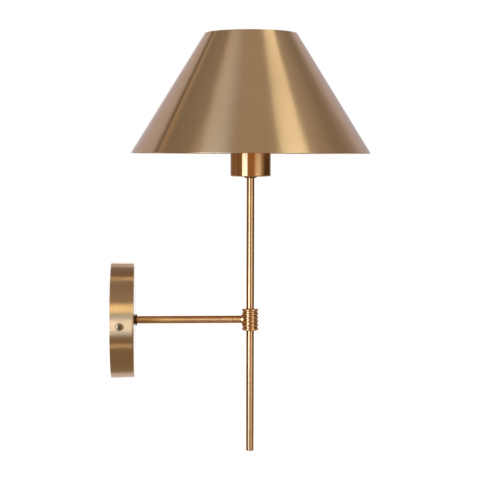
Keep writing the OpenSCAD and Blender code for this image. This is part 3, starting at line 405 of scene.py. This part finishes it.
# brass tube and turned parts, polished and lacquered: crisp strips of light, with painted shade in the
# grooves. The polisher's lines are about 0.03 mm in truth, far too fine to show; drawn at 1.1 mm and faint
polishedSet = {**lathedSet, "colour": "#f0bb7a", "deepColour": "#e2a868", "edgeColour": "#f8dcae",
               "roughness": 0.18, "anisotropic": 0.95, "lineStretch": 0.4, "lineSize": 1.1,
               "lineColour": 0.2, "streakSize": 7.0, "streakColour": 0.2, "cloudSize": 33.0,
               "edgeReach": 0.25, "paintedShadeDepth": 0.75, "bump": 0.002, "lacquerRoughness": 0.06}
# the arm's tube is linished round, so its strip of light is softer
armSet = {**polishedSet, "axis": "x", "roughness": 0.30, "lineColour": 0.15, "streakColour": 0.1,
          "anisotropic": 1.0}
# turned brass rings, tarnished where lacquer never reached, and painted darker to stand for the shade their
# ends reflect: nearly black away from the light
tarnishedAndShadedSet = {**polishedSet, "colour": "#8f6238", "deepColour": "#4a3420", "edgeColour": "#c08a58",
             "cloudSize": 16.0, "roughness": 0.22, "lacquer": 0.0}

brushedBrass = turnedMetal("brushedBrass", brushedSet)
brushedBrassPlate = turnedMetal("brushedBrassPlate", plateSet)
polishedBrass = turnedMetal("polishedBrass", polishedSet)
polishedBrassArm = turnedMetal("polishedBrassArm", armSet)
dulledBrass = turnedMetal("dulledBrass", tarnishedAndShadedSet)
dulledBrassArm = turnedMetal("dulledBrassArm", {**tarnishedAndShadedSet, "axis": "x"})
print("brass made")


def castOrMoulded(name, values):
    # anything without a grain direction: soft clouds, fine grain, worn edges, bump
    material, tree, shader = newMaterial(name)
    place = addNode(tree, "ShaderNodeTexCoord").outputs["Object"]
    clouds = noisePattern(tree, place, values["cloudSize"], "cloud")
    grain = noisePattern(tree, place, values["grainSize"], "grain")
    deep = linearColour(values["deepColour"])
    light = linearColour(values["colour"])
    colour = addNode(tree, "ShaderNodeMix", clouds, {colourA: deep, colourB: light},
                     data_type="RGBA").outputs[mixed]
    if "stripeColour" in values:
        around = addNode(tree, "ShaderNodeAttribute", attribute_name="around").outputs["Fac"]
        stripe = addNode(tree, maths, around, values["stripeShare"], operation="LESS_THAN")
        striped = linearColour(values["stripeColour"])
        colour = addNode(tree, "ShaderNodeMix", stripe, {colourA: colour, colourB: striped},
                         data_type="RGBA").outputs[mixed]
    speck = addNode(tree, maths, grain, values["grainColour"], operation="MULTIPLY")
    colour = addNode(tree, "ShaderNodeMix", speck, {colourA: colour, colourB: deep},
                     data_type="RGBA").outputs[mixed]
    tree.links.new(wornAndShadedColour(tree, colour, values), shader.inputs["Base Color"])
    shader.inputs["Metallic"].default_value = values["metallic"]
    shader.inputs["Coat Weight"].default_value = values["coat"]
    shader.inputs["Coat Roughness"].default_value = values["coatRoughness"]
    dulling = values["cloudDulling"]
    rough = addNode(tree, maths, clouds, dulling, values["roughness"] - dulling / 2,
                    operation="MULTIPLY_ADD")
    tree.links.new(rough.outputs[0], shader.inputs["Roughness"])
    bump = addNode(tree, "ShaderNodeBump", {"Strength": values["bump"], "Height": grain,
                                            "Distance": values["grainDepth"] * mm})
    tree.links.new(bump.outputs[0], shader.inputs["Normal"])
    return material


# sizes, reaches and depth are in mm
metalSet = {"metallic": 1.0, "coat": 0.0, "coatRoughness": 0.12, "cloudSize": 8.0, "cloudDulling": 0.1,
            "grainSize": 0.4, "grainColour": 0.3, "grainDepth": 0.05, "edgeReach": 0.2, "wear": 0.6,
            "paintedShadeReach": 1.5, "paintedShadeDepth": 0.6, "bump": 0.2}
mouldedSet = {**metalSet, "metallic": 0.0, "cloudSize": 7.0, "grainSize": 0.5, "edgeReach": 0.3,
              "wear": 0.4}
# extruded insulation: even colour, faint waxy shine
leadSheathSet = {**mouldedSet, "roughness": 0.42, "cloudSize": 5.0, "edgeReach": 0.1, "wear": 0.2,
                 "bump": 0.15}

# turned or stamped brass left as it comes: warm, a little dull
bareBrass = castOrMoulded("bareBrass", {**metalSet, "colour": "#dcb56a", "deepColour": "#c39a50",
                                        "edgeColour": "#f0d292", "roughness": 0.32})
# zinc plated steel sheet, nuts and washers: grey, cloudy passivation
zincSteel = castOrMoulded("zincSteel", {**metalSet, "colour": "#c4c4c2", "deepColour": "#a3a4a4",
                                        "edgeColour": "#e2e2e0", "roughness": 0.36, "cloudSize": 11.0,
                                        "grainSize": 0.55, "bump": 0.3})
# nickel plated screws, with painted shade dark in the cross and under the head
nickelScrews = castOrMoulded("nickelScrews", {**metalSet, "colour": "#bfa784", "deepColour": "#8f7a5c",
                                              "edgeColour": "#d8cfc0", "roughness": 0.24, "cloudSize": 5.0,
                                              "edgeReach": 0.1, "wear": 0.4, "paintedShadeDepth": 0.95})
# drawn spring wire: smooth, grey
springSteel = castOrMoulded("springSteel", {**metalSet, "colour": "#a8a9ab", "deepColour": "#8b8c8f",
                                            "edgeColour": "#c8c9ca", "roughness": 0.30, "cloudSize": 3.3,
                                            "edgeReach": 0.1, "wear": 0.3})
# compression moulded phenolic: brown black, satin, edges rubbed lighter
blackPhenolic = castOrMoulded("blackPhenolic", {**mouldedSet, "colour": "#2a2522", "deepColour": "#1d1917",
                                                "edgeColour": "#4a413a", "roughness": 0.38, "wear": 0.5,
                                                "bump": 0.25})
# pressed steatite with a thin glaze: warm white under a clear shine
whiteCeramic = castOrMoulded("whiteCeramic", {**mouldedSet, "colour": "#ece7da", "deepColour": "#ddd6c6",
                                              "edgeColour": "#f3efe6", "roughness": 0.28, "cloudSize": 9.0,
                                              "coat": 0.4})
# injection moulded polyamide: milky, softer shine
whiteNylon = castOrMoulded("whiteNylon", {**mouldedSet, "colour": "#e6e3da", "deepColour": "#d8d4c8",
                                          "edgeColour": "#f0eee8", "roughness": 0.45, "bump": 0.25})
brownSheath = castOrMoulded("brownSheath", {**leadSheathSet, "colour": "#6b3a1e", "deepColour": "#572d16",
                                            "edgeColour": "#7d4a2b"})
blueSheath = castOrMoulded("blueSheath", {**leadSheathSet, "colour": "#2f6fb3", "deepColour": "#265c97",
                                          "edgeColour": "#4682c0"})
# green sheath with its yellow stripe along the lead
greenSheath = castOrMoulded("greenSheath", {**leadSheathSet, "colour": "#4c9a3c", "deepColour": "#3e8331",
                                            "edgeColour": "#63ab54", "stripeColour": "#e3cc34",
                                            "stripeShare": 0.36})

finishes = {
    brushedBrassPlate: ("backplate",),
    brushedBrass: ("shade_cone",),
    dulledBrassArm: ("arm_seat_ring",),
    polishedBrassArm: ("arm_tube",),
    polishedBrass: ("collar", "upper_rod", "lower_rod", "holder_cup"),
    dulledBrass: ("cup_seat_ring",),
    nickelScrews: ("side_screws",),
    springSteel: ("contact_spring",),
    blackPhenolic: ("holder_base", "holder_skirt", "shade_ring"),
    whiteCeramic: ("holder_insert",),
    whiteNylon: ("terminal_block", "arm_bush", "rod_bush"),
    brownSheath: ("line_lead",),
    blueSheath: ("neutral_lead",),
    greenSheath: ("earth_lead",),
    bareBrass: ("terminal_tubes", "earth_screw", "earth_tag", "holder_terminals", "holder_shell",
                "contact_plate", "contact_plunger")}
finishOf = {name: material for material, names in finishes.items() for name in names}
for name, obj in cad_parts.items():
    for slot in obj.material_slots:
        slot.material = finishOf.get(name, zincSteel)  # bracket, washers, nuts, screws, shade carrier
print("materials on", len(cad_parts), "CAD nodes")


# points closer than these many mm become one; edges bent by more than sharpAngle degrees stay crisp
meshSet = {"treeMerge": 0.002, "merge": 0.0015, "sharpAngle": 35}


def newTree(name, sockets):
    tree = bpy.data.node_groups.new(name, "GeometryNodeTree")
    for label, kind, value in sockets:
        socket = tree.interface.new_socket(name=label, in_out="INPUT", socket_type="NodeSocket" + kind)
        if value is not None:
            socket.default_value = value
    tree.interface.new_socket(name="Geometry", in_out="OUTPUT", socket_type="NodeSocketGeometry")
    return tree, addNode(tree, "NodeGroupInput").outputs


def endTree(tree, geometry, material):
    real = addNode(tree, "GeometryNodeRealizeInstances", geometry)
    smooth = addNode(tree, "GeometryNodeSetShadeSmooth", real)
    finished = addNode(tree, "GeometryNodeSetMaterial", smooth, {"Material": material})
    addNode(tree, "NodeGroupOutput", finished)
    return tree


def makeTurnedTree():
    # the object's closed outline, turned round z; a thread is rolled into the rows near its radius
    tree, given = newTree("turnedPiece", [
        ("Geometry", "Geometry", None), ("Steps Around", "Int", 96), ("Thread Pitch", "Float", 0.001),
        ("Thread Depth", "Float", 0.0), ("Thread Start", "Float", 0.0), ("Thread End", "Float", 0.0),
        ("Thread Radius", "Float", 0.0), ("Thread Reach", "Float", 0.0001), ("Material", "Material", None)])
    pitch = given["Thread Pitch"]
    rows = addNode(tree, "GeometryNodeAttributeDomainSize", given["Geometry"]).outputs["Point Count"]
    columns = addNode(tree, maths, given["Steps Around"], 1.0, operation="ADD")
    grid = addNode(tree, "GeometryNodeMeshGrid", {"Vertices X": rows, "Vertices Y": columns})
    # a grid point's index is row x columns + column; half a point is added against rounding
    index = addNode(tree, "GeometryNodeInputIndex")
    middle = addNode(tree, maths, index, 0.5, operation="ADD")
    row = addNode(tree, maths, addNode(tree, maths, middle, columns, operation="DIVIDE"), operation="FLOOR")
    before = addNode(tree, maths, row, columns, operation="MULTIPLY")
    column = addNode(tree, maths, index, before, operation="SUBTRACT")
    turn = addNode(tree, maths, column, given["Steps Around"], operation="DIVIDE")
    angle = addNode(tree, maths, turn, 2 * math.pi, operation="MULTIPLY")
    here = addNode(tree, "GeometryNodeInputPosition")
    outline = addNode(tree, "GeometryNodeSampleIndex", {"Geometry": given["Geometry"], "Value": here,
                                                        "Index": row},
                      data_type="FLOAT_VECTOR", domain="POINT")
    radius, _, height = addNode(tree, "ShaderNodeSeparateXYZ", outline).outputs
    # the groove is a cosine that climbs one pitch a turn and fades out over half a pitch at both ends
    climbed = addNode(tree, maths, height, pitch, operation="DIVIDE")
    phase = addNode(tree, maths, climbed, turn, operation="SUBTRACT")
    swing = addNode(tree, maths, phase, 2 * math.pi, operation="MULTIPLY")
    wave = addNode(tree, maths, addNode(tree, maths, swing, operation="COSINE"), -0.5, 0.5,
                   operation="MULTIPLY_ADD")
    fade = addNode(tree, maths, pitch, 0.5, operation="MULTIPLY")
    above = addNode(tree, maths, height, given["Thread Start"], operation="SUBTRACT")
    below = addNode(tree, maths, given["Thread End"], height, operation="SUBTRACT")
    rise = addNode(tree, maths, above, fade, operation="DIVIDE", use_clamp=True)
    fall = addNode(tree, maths, below, fade, operation="DIVIDE", use_clamp=True)
    off = addNode(tree, maths, addNode(tree, maths, radius, given["Thread Radius"], operation="SUBTRACT"),
                  operation="ABSOLUTE")
    cut = addNode(tree, maths, off, given["Thread Reach"], operation="LESS_THAN")
    for share in (wave, rise, fall, given["Thread Depth"]):
        cut = addNode(tree, maths, cut, share, operation="MULTIPLY")
    reach = addNode(tree, maths, radius, cut, operation="SUBTRACT")
    cosine = addNode(tree, maths, angle, operation="COSINE")
    sine = addNode(tree, maths, angle, operation="SINE")
    place = addNode(tree, "ShaderNodeCombineXYZ", addNode(tree, maths, reach, cosine, operation="MULTIPLY"),
                    addNode(tree, maths, reach, sine, operation="MULTIPLY"), height)
    turned = addNode(tree, "GeometryNodeSetPosition", {"Geometry": grid, "Position": place})
    joined = addNode(tree, "GeometryNodeMergeByDistance", {"Geometry": turned,
                                                           "Distance": meshSet["treeMerge"] * mm})
    return endTree(tree, joined, given["Material"])


def makeSweptTree():
    # a round section along the object's own line of points, its angle kept as "around"
    tree, given = newTree("sweptLine", [
        ("Geometry", "Geometry", None), ("Radius", "Float", 0.001), ("Sides", "Int", 16),
        ("Material", "Material", None)])
    line = addNode(tree, "GeometryNodeMeshToCurve", given["Geometry"])
    section = addNode(tree, "GeometryNodeCurvePrimitiveCircle", {"Resolution": given["Sides"],
                                                                 "Radius": given["Radius"]})
    angle = addNode(tree, "GeometryNodeSplineParameter").outputs["Factor"]
    kept = addNode(tree, "GeometryNodeStoreNamedAttribute", {
        "Geometry": section, "Name": "around", "Value": angle}, data_type="FLOAT", domain="POINT")
    tube = addNode(tree, "GeometryNodeCurveToMesh", {"Curve": line, "Profile Curve": kept,
                                                     "Fill Caps": True})
    return endTree(tree, tube, given["Material"])


def makePlacedTree():
    # copies of a model on the object's own points, each turned by its attribute "turn"
    tree, given = newTree("placedCopies", [
        ("Geometry", "Geometry", None), ("Model", "Object", None), ("Size", "Float", 1.0),
        ("Material", "Material", None)])
    model = addNode(tree, "GeometryNodeObjectInfo", {"Object": given["Model"]}, transform_space="ORIGINAL")
    turn = addNode(tree, "GeometryNodeInputNamedAttribute", {"Name": "turn"}, data_type="FLOAT_VECTOR")
    rotation = addNode(tree, "FunctionNodeEulerToRotation", turn)
    copies = addNode(tree, "GeometryNodeInstanceOnPoints", {
        "Points": given["Geometry"], "Instance": model.outputs["Geometry"], "Rotation": rotation,
        "Scale": given["Size"]})
    return endTree(tree, copies, given["Material"])


turnedTree = makeTurnedTree()
sweptTree = makeSweptTree()
placedTree = makePlacedTree()
print("node trees made")


def roundedCorner(last, here, following, radius, steps):
    # an arc that touches the straight runs on both sides of a corner
    toLast = (last - here).normalized()
    toNext = (following - here).normalized()
    half = toLast.angle(toNext) / 2
    middle = here + (toLast + toNext).normalized() * radius / math.sin(half)
    start = here + toLast * radius / math.tan(half) - middle
    end = here + toNext * radius / math.tan(half) - middle
    sweep = math.pi - 2 * half
    return [middle + (start * math.sin((1 - k / steps) * sweep) + end * math.sin(k / steps * sweep))
            / math.sin(sweep) for k in range(steps + 1)]


def roundedOutline(corners, steps):
    # corners are (radius, height, edge radius) in mm, round a closed outline
    outline = []
    points = [Vector(corner[:2]) for corner in corners]
    for i, corner in enumerate(corners):
        if corner[2] > 0:
            following = points[(i + 1) % len(points)]
            outline += roundedCorner(points[i - 1], points[i], following, corner[2], steps)
        else:
            outline.append(points[i])
    return outline


def roundedRoute(points, radii, steps):
    # a route in mm from its first to its last point, rounded at each point between
    points = [Vector(point) for point in points]
    route = [points[0]]
    for i, radius in enumerate(radii, 1):
        route += roundedCorner(points[i - 1], points[i], points[i + 1], radius, steps)
    return route + [points[-1]]


def lineObject(name, points):
    # points in mm, joined in order by edges
    mesh = bpy.data.meshes.new(name + "Line")
    mesh.from_pydata([tuple(c * mm for c in point) for point in points],
                     [(i, i + 1) for i in range(len(points) - 1)], [])
    obj = bpy.data.objects.new(name, mesh)
    scene.collection.objects.link(obj)
    return obj


def applyModifiers(obj):
    # the evaluated shape becomes a plain mesh, and the modifiers go
    bpy.context.view_layer.update()
    made = bpy.data.meshes.new_from_object(obj.evaluated_get(bpy.context.evaluated_depsgraph_get()))
    made.name = obj.name
    old = obj.data
    obj.modifiers.clear()
    obj.data = made
    bpy.data.meshes.remove(old)


def runTree(obj, tree, inputs):
    modifier = obj.modifiers.new("nodes", "NODES")
    modifier.node_group = tree
    for item in tree.interface.items_tree:
        if item.item_type == "SOCKET" and item.in_out == "INPUT" and item.name in inputs:
            modifier[item.identifier] = inputs[item.name]
    applyModifiers(obj)


def cleanMesh(obj, turn=None, outward=True):
    # merge doubles, put the shape in its place, point its faces outwards and mark its crisp edges
    shape = bmesh.new()
    shape.from_mesh(obj.data)
    bmesh.ops.remove_doubles(shape, verts=shape.verts, dist=meshSet["merge"] * mm)
    if turn is not None:
        bmesh.ops.transform(shape, matrix=turn, verts=shape.verts)
    if outward:
        bmesh.ops.recalc_face_normals(shape, faces=shape.faces)
    shape.to_mesh(obj.data)
    shape.free()
    obj.data.set_sharp_from_angle(angle=math.radians(meshSet["sharpAngle"]))


def finishPiece(obj, body, replaced):
    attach(obj, body)
    if replaced:
        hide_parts(*replaced)
    print("piece", obj.name, len(obj.data.polygons), "faces")


def turnOutline(obj, values, material):
    # a piece without a thread leaves the thread's values out
    runTree(obj, turnedTree, {
        "Steps Around": values["steps"], "Material": material,
        "Thread Pitch": values.get("pitch", 1.0) * mm, "Thread Depth": values.get("depth", 0.0) * mm,
        "Thread Start": values.get("threadFrom", 0.0) * mm, "Thread End": values.get("threadTo", 0.0) * mm,
        "Thread Radius": values.get("threadRadius", 0.0) * mm,
        "Thread Reach": values.get("threadReach", 0.05) * mm})


def turnedPiece(name, corners, values, body, material, replaced):
    # a closed outline, turned round the rods' axis
    outline = roundedOutline(corners, values["edgeSteps"])
    obj = lineObject(name, [(p.x, 0, p.y) for p in outline + outline[:1]])
    turnOutline(obj, values, material)
    cleanMesh(obj, turn=Matrix.Translation(rodAxis))
    finishPiece(obj, body, replaced)


# the shade is a spun cone with a hem folded in at both edges
shadeSet = {"lowD": 248.4, "topD": 95.4, "height": 123.5, "lowZ": 172.8, "wall": 0.9, "hemHeight": 4.0,
            "hemWall": 0.8, "lowEdge": 0.45, "topEdge": 0.8, "hemEdge": 0.35, "hemFoot": 0.3, "steps": 240,
            "edgeSteps": 5}


def makeShade(v):
    slope = (v["lowD"] - v["topD"]) / 2 / v["height"]
    lean = math.cos(math.atan(slope))
    lowZ, topZ = v["lowZ"], v["lowZ"] + v["height"]
    lowHemZ, topHemZ = lowZ + v["hemHeight"], topZ - v["hemHeight"]
    hem = v["hemWall"] / lean

    def outer(z):
        return v["lowD"] / 2 - slope * (z - lowZ)

    def inner(z):
        return outer(z) - v["wall"] / lean

    corners = [
        (outer(lowZ), lowZ, v["lowEdge"]), (outer(topZ), topZ, v["topEdge"]),
        (inner(topZ) - hem, topZ, v["hemEdge"]), (inner(topHemZ) - hem, topHemZ, v["hemFoot"]),
        (inner(topHemZ), topHemZ, 0), (inner(lowHemZ), lowHemZ, 0),
        (inner(lowHemZ) - hem, lowHemZ, v["hemFoot"]), (inner(lowZ) - hem, lowZ, v["hemEdge"])]
    turnedPiece("shadeCone", corners, v, "shade", brushedBrass, ["shade_cone"])


makeShade(shadeSet)

# the lampholder's cap shell is thin brass with the E27 cap's thread rolled in
shellSet = {"bore": 26.5, "wall": 0.4, "topZ": 202.0, "stepZ": 183.0, "footZ": 180.0, "footBore": 22.0,
            "pitch": 3.629, "depth": 1.1, "threadFrom": 184.2, "threadTo": 201.4, "threadRadius": 13.45,
            "threadReach": 0.4, "rowsPerTurn": 10, "edge": 0.15, "footEdge": 0.1, "steps": 72,
            "edgeSteps": 3}


def makeShell(v):
    r, foot, wall = v["bore"] / 2, v["footBore"] / 2, v["wall"]
    top, step, low = v["topZ"], v["stepZ"], v["footZ"]
    rows = int((top - step) / v["pitch"] * v["rowsPerTurn"])
    heights = [step + (top - step) * i / rows for i in range(rows + 1)]
    corners = [(foot, low, v["footEdge"]), (foot + wall, low, v["footEdge"]), (foot + wall, step - wall, 0),
               (r + wall, step - wall, v["edge"])]
    corners += [(r + wall, z, 0) for z in heights[1:]] + [(r, z, 0) for z in reversed(heights)]
    corners += [(foot, step, v["edge"])]
    turnedPiece("lampCapShell", corners, v, "frame", bareBrass, ["holder_shell"])


makeShell(shellSet)

# the lampholder's skirt is moulded, with the shade ring's thread outside
skirtSet = {"outer": 39.8, "bore": 29.2, "neckBore": 34.9, "footZ": 169.8, "ledgeZ": 175.7, "topZ": 205.0,
            "pitch": 2.5, "depth": 0.9, "threadFrom": 191.6, "threadTo": 203.6, "threadRadius": 19.9,
            "rowsPerTurn": 10, "edge": 0.8, "footEdge": 0.5, "boreEdge": 0.1, "neckEdge": 0.2, "steps": 96,
            "edgeSteps": 4}


def makeSkirt(v):
    r, bore, neck = v["outer"] / 2, v["bore"] / 2, v["neckBore"] / 2
    length = v["threadTo"] - v["threadFrom"]
    rows = int(length / v["pitch"] * v["rowsPerTurn"])
    corners = [(neck, v["footZ"], v["neckEdge"]), (r, v["footZ"], v["footEdge"])]
    corners += [(r, v["threadFrom"] + length * i / rows, 0) for i in range(rows + 1)]
    corners += [(r, v["topZ"], v["edge"]), (bore, v["topZ"], v["edge"]), (bore, v["ledgeZ"], v["boreEdge"]),
                (neck, v["ledgeZ"], v["boreEdge"])]
    turnedPiece("holderSkirt", corners, v, "frame", blackPhenolic, ["holder_skirt"])


makeSkirt(skirtSet)

# side screws: M4 pan heads with a tapered cross recess
screwSet = {"shank": 3.9, "shankTip": 3.1, "head": 7.4, "headHeight": 2.4, "crown": 0.12, "length": 8.0,
            "edge": 1.15, "footEdge": 0.15, "pitch": 0.7, "depth": 0.35, "threadFrom": -7.6,
            "threadTo": -0.5, "threadRadius": 1.95, "rowsPerTurn": 6, "crossLength": 4.9,
            "crossWidth": 1.1, "crossDepth": 1.8, "crossTop": 0.3, "lengthTaper": 0.45,
            "widthTaper": (0.7, 1.15), "turn": 33.0, "x": 9.7, "seatY": 59.875, "steps": 48,
            "edgeSteps": 6}


def makeCross(v):
    # two crossed bars that taper downwards and stand a little above the head
    shape = bmesh.new()
    for turn in (0, 90):
        made = bmesh.ops.create_cube(shape, size=1)["verts"]
        for vert in made:
            high = vert.co.z > 0
            vert.co.x *= v["crossLength"] * (1 if high else v["lengthTaper"])
            vert.co.y *= v["crossWidth"] * v["widthTaper"][high]
            vert.co.z = v["headHeight"] + (v["crossTop"] if high else -v["crossDepth"])
        bmesh.ops.rotate(shape, verts=made, cent=(0, 0, 0),
                         matrix=Matrix.Rotation(math.radians(turn), 3, "Z"))
    bmesh.ops.scale(shape, verts=shape.verts, vec=(mm, mm, mm))
    mesh = bpy.data.meshes.new("crossCutter")
    shape.to_mesh(mesh)
    shape.free()
    obj = bpy.data.objects.new("crossCutter", mesh)
    scene.collection.objects.link(obj)
    return obj


def makeScrewModel(v):
    shank, head, run = v["shank"] / 2, v["head"] / 2, v["threadTo"] - v["threadFrom"]
    rows = int(run / v["pitch"] * v["rowsPerTurn"])
    corners = [(0, -v["length"], 0), (v["shankTip"] / 2, -v["length"], 0)]
    corners += [(shank, v["threadFrom"] + run * i / rows, 0) for i in range(rows + 1)]
    corners += [(shank, 0, 0), (head, 0, v["footEdge"]), (head, v["headHeight"], v["edge"]),
                (0, v["headHeight"] + v["crown"], 0)]
    obj = lineObject("screwModel", [(p.x, 0, p.y) for p in roundedOutline(corners, v["edgeSteps"])])
    turnOutline(obj, v, nickelScrews)
    cleanMesh(obj)
    cutter = makeCross(v)
    cut = obj.modifiers.new("cross", "BOOLEAN")
    cut.object = cutter
    cut.operation = "DIFFERENCE"
    cut.solver = "EXACT"
    cut.use_self = True
    applyModifiers(obj)
    bpy.data.objects.remove(cutter)
    return obj


def placedCopies(name, model, places, material, body, replaced):
    # places are (point in mm, turn); the turn is a rotation of the model about its origin
    obj = lineObject(name, [point for point, _ in places])
    obj.data.attributes.new("turn", "FLOAT_VECTOR", "POINT").data.foreach_set(
        "vector", [angle for _, turn in places for angle in turn.to_euler()])
    runTree(obj, placedTree, {"Model": model, "Size": 1.0, "Material": material})
    cleanMesh(obj, outward=False)
    bpy.data.objects.remove(model)
    finishPiece(obj, body, replaced)


def makeSideScrews(v):
    # each is turned about its own line, then laid along y with its head outside
    places = [((v["x"], side * v["seatY"], 0), Matrix.Rotation(-side * math.pi / 2, 3, "X")
               @ Matrix.Rotation(math.radians(-side * v["turn"]), 3, "Z")) for side in (-1, 1)]
    placedCopies("sideScrews", makeScrewModel(v), places, nickelScrews, "frame",
                 ["side_screws"])


makeSideScrews(screwSet)

# each carrier arm is spot welded to the cone: a shallow pressed button in the middle of its pad
weldSet = {"width": 3.4, "height": 0.4, "sink": 0.3, "edge": 0.35, "z": 231.2, "padRadius": 86.0,
           "padHalf": 0.6, "lean": 31.8, "turns": (0, 120, 240), "steps": 32, "edgeSteps": 4}


def makeWelds(v):
    r = v["width"] / 2
    corners = [(0, -v["sink"], 0), (r, -v["sink"], 0), (r, v["height"], v["edge"]), (0, v["height"], 0)]
    model = lineObject("weldModel", [(p.x, 0, p.y) for p in roundedOutline(corners, v["edgeSteps"])])
    turnOutline(model, v, zincSteel)
    cleanMesh(model)
    inward = Matrix.Rotation(-math.pi / 2 - math.radians(v["lean"]), 3, "Y")
    foot = Vector((v["padRadius"], 0, v["z"])) + inward @ Vector((0, 0, v["padHalf"]))
    places = []
    for turn in v["turns"]:
        around = Matrix.Rotation(math.radians(turn), 3, "Z")
        places.append((Vector(rodAxis) / mm + around @ foot, around @ inward))
    placedCopies("padWelds", model, places, zincSteel, "shade", [])


makeWelds(weldSet)

# insulated leads, 2 mm over the sheath: two run from the terminals through arm, collar and upper rod to
# the lampholder, the earth lead from its terminal to the bracket
leadSet = {"radius": 1.0, "sides": 14, "bendSteps": 8, "poleX": 7.0, "polePitch": 8.5, "inBlockZ": -28.0,
           "aboveBlockZ": -19.0, "turnZ": -8.0, "armY": 1.05, "rodX": 144.0, "partZ": 165.2,
           "spreadZ": 168.2, "endZ": 175.7, "terminalY": 9.0, "bends": (3, 3, 4, 4, 2, 2),
           "earthRiseZ": -21.0, "earthX": 4.1, "earthY": 17.0, "earthLowZ": -11.4, "earthEndZ": -6.9,
           "earthBends": (2, 2)}


def makeLead(v, name, points, bends, material, replaced):
    obj = lineObject(name, roundedRoute(points, bends, v["bendSteps"]))
    runTree(obj, sweptTree, {"Radius": v["radius"] * mm, "Sides": v["sides"], "Material": material})
    cleanMesh(obj)
    finishPiece(obj, "frame", [replaced])


def makeLeads(v):
    for name, side, poleY, slot, material, replaced in (
            ("lineLead", -1, -v["polePitch"], "brown_lead", brownSheath, "line_lead"),
            ("neutralLead", 1, 0, "blue_lead", blueSheath, "neutral_lead")):
        inArm, inHolder = side * v["armY"], side * v["terminalY"]
        makeLead(v, name, [
            (v["poleX"], poleY, v["inBlockZ"]), (v["poleX"], poleY, v["aboveBlockZ"]),
            (v["poleX"], inArm, v["turnZ"]), (v["poleX"], inArm, 0), (v["rodX"], inArm, 0),
            (v["rodX"], inArm, v["partZ"]), (v["rodX"], inHolder, v["spreadZ"]),
            (v["rodX"], inHolder, v["endZ"])], v["bends"], material, replaced)
    makeLead(v, "earthLead", [
        (v["poleX"], v["polePitch"], v["inBlockZ"]), (v["poleX"], v["polePitch"], v["earthRiseZ"]),
        (v["earthX"], v["earthY"], v["earthLowZ"]), (v["earthX"], v["earthY"], v["earthEndZ"])],
        v["earthBends"], greenSheath, "earth_lead")


makeLeads(leadSet)

# the contact spring is a coil of round wire that shortens as the contact is pressed
springSet = {"wire": 0.25, "sides": 10, "radius": 2.5, "turns": 4, "turnSteps": 24, "lowZ": 171.3,
             "rise": 4.7, "footZ": 171.0, "travel": 1.8}


def makeSpring(v):
    steps = v["turnSteps"] * v["turns"]
    angles = [2 * math.pi * i / v["turnSteps"] for i in range(steps + 1)]
    obj = lineObject("contactSpring", [
        (rodAxis[0] / mm + v["radius"] * math.cos(a), v["radius"] * math.sin(a),
         v["lowZ"] + v["rise"] * i / steps) for i, a in enumerate(angles)])
    runTree(obj, sweptTree, {"Radius": v["wire"] * mm, "Sides": v["sides"], "Material": springSteel})
    cleanMesh(obj)
    finishPiece(obj, "frame", ["contact_spring"])
    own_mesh(obj)


makeSpring(springSet)
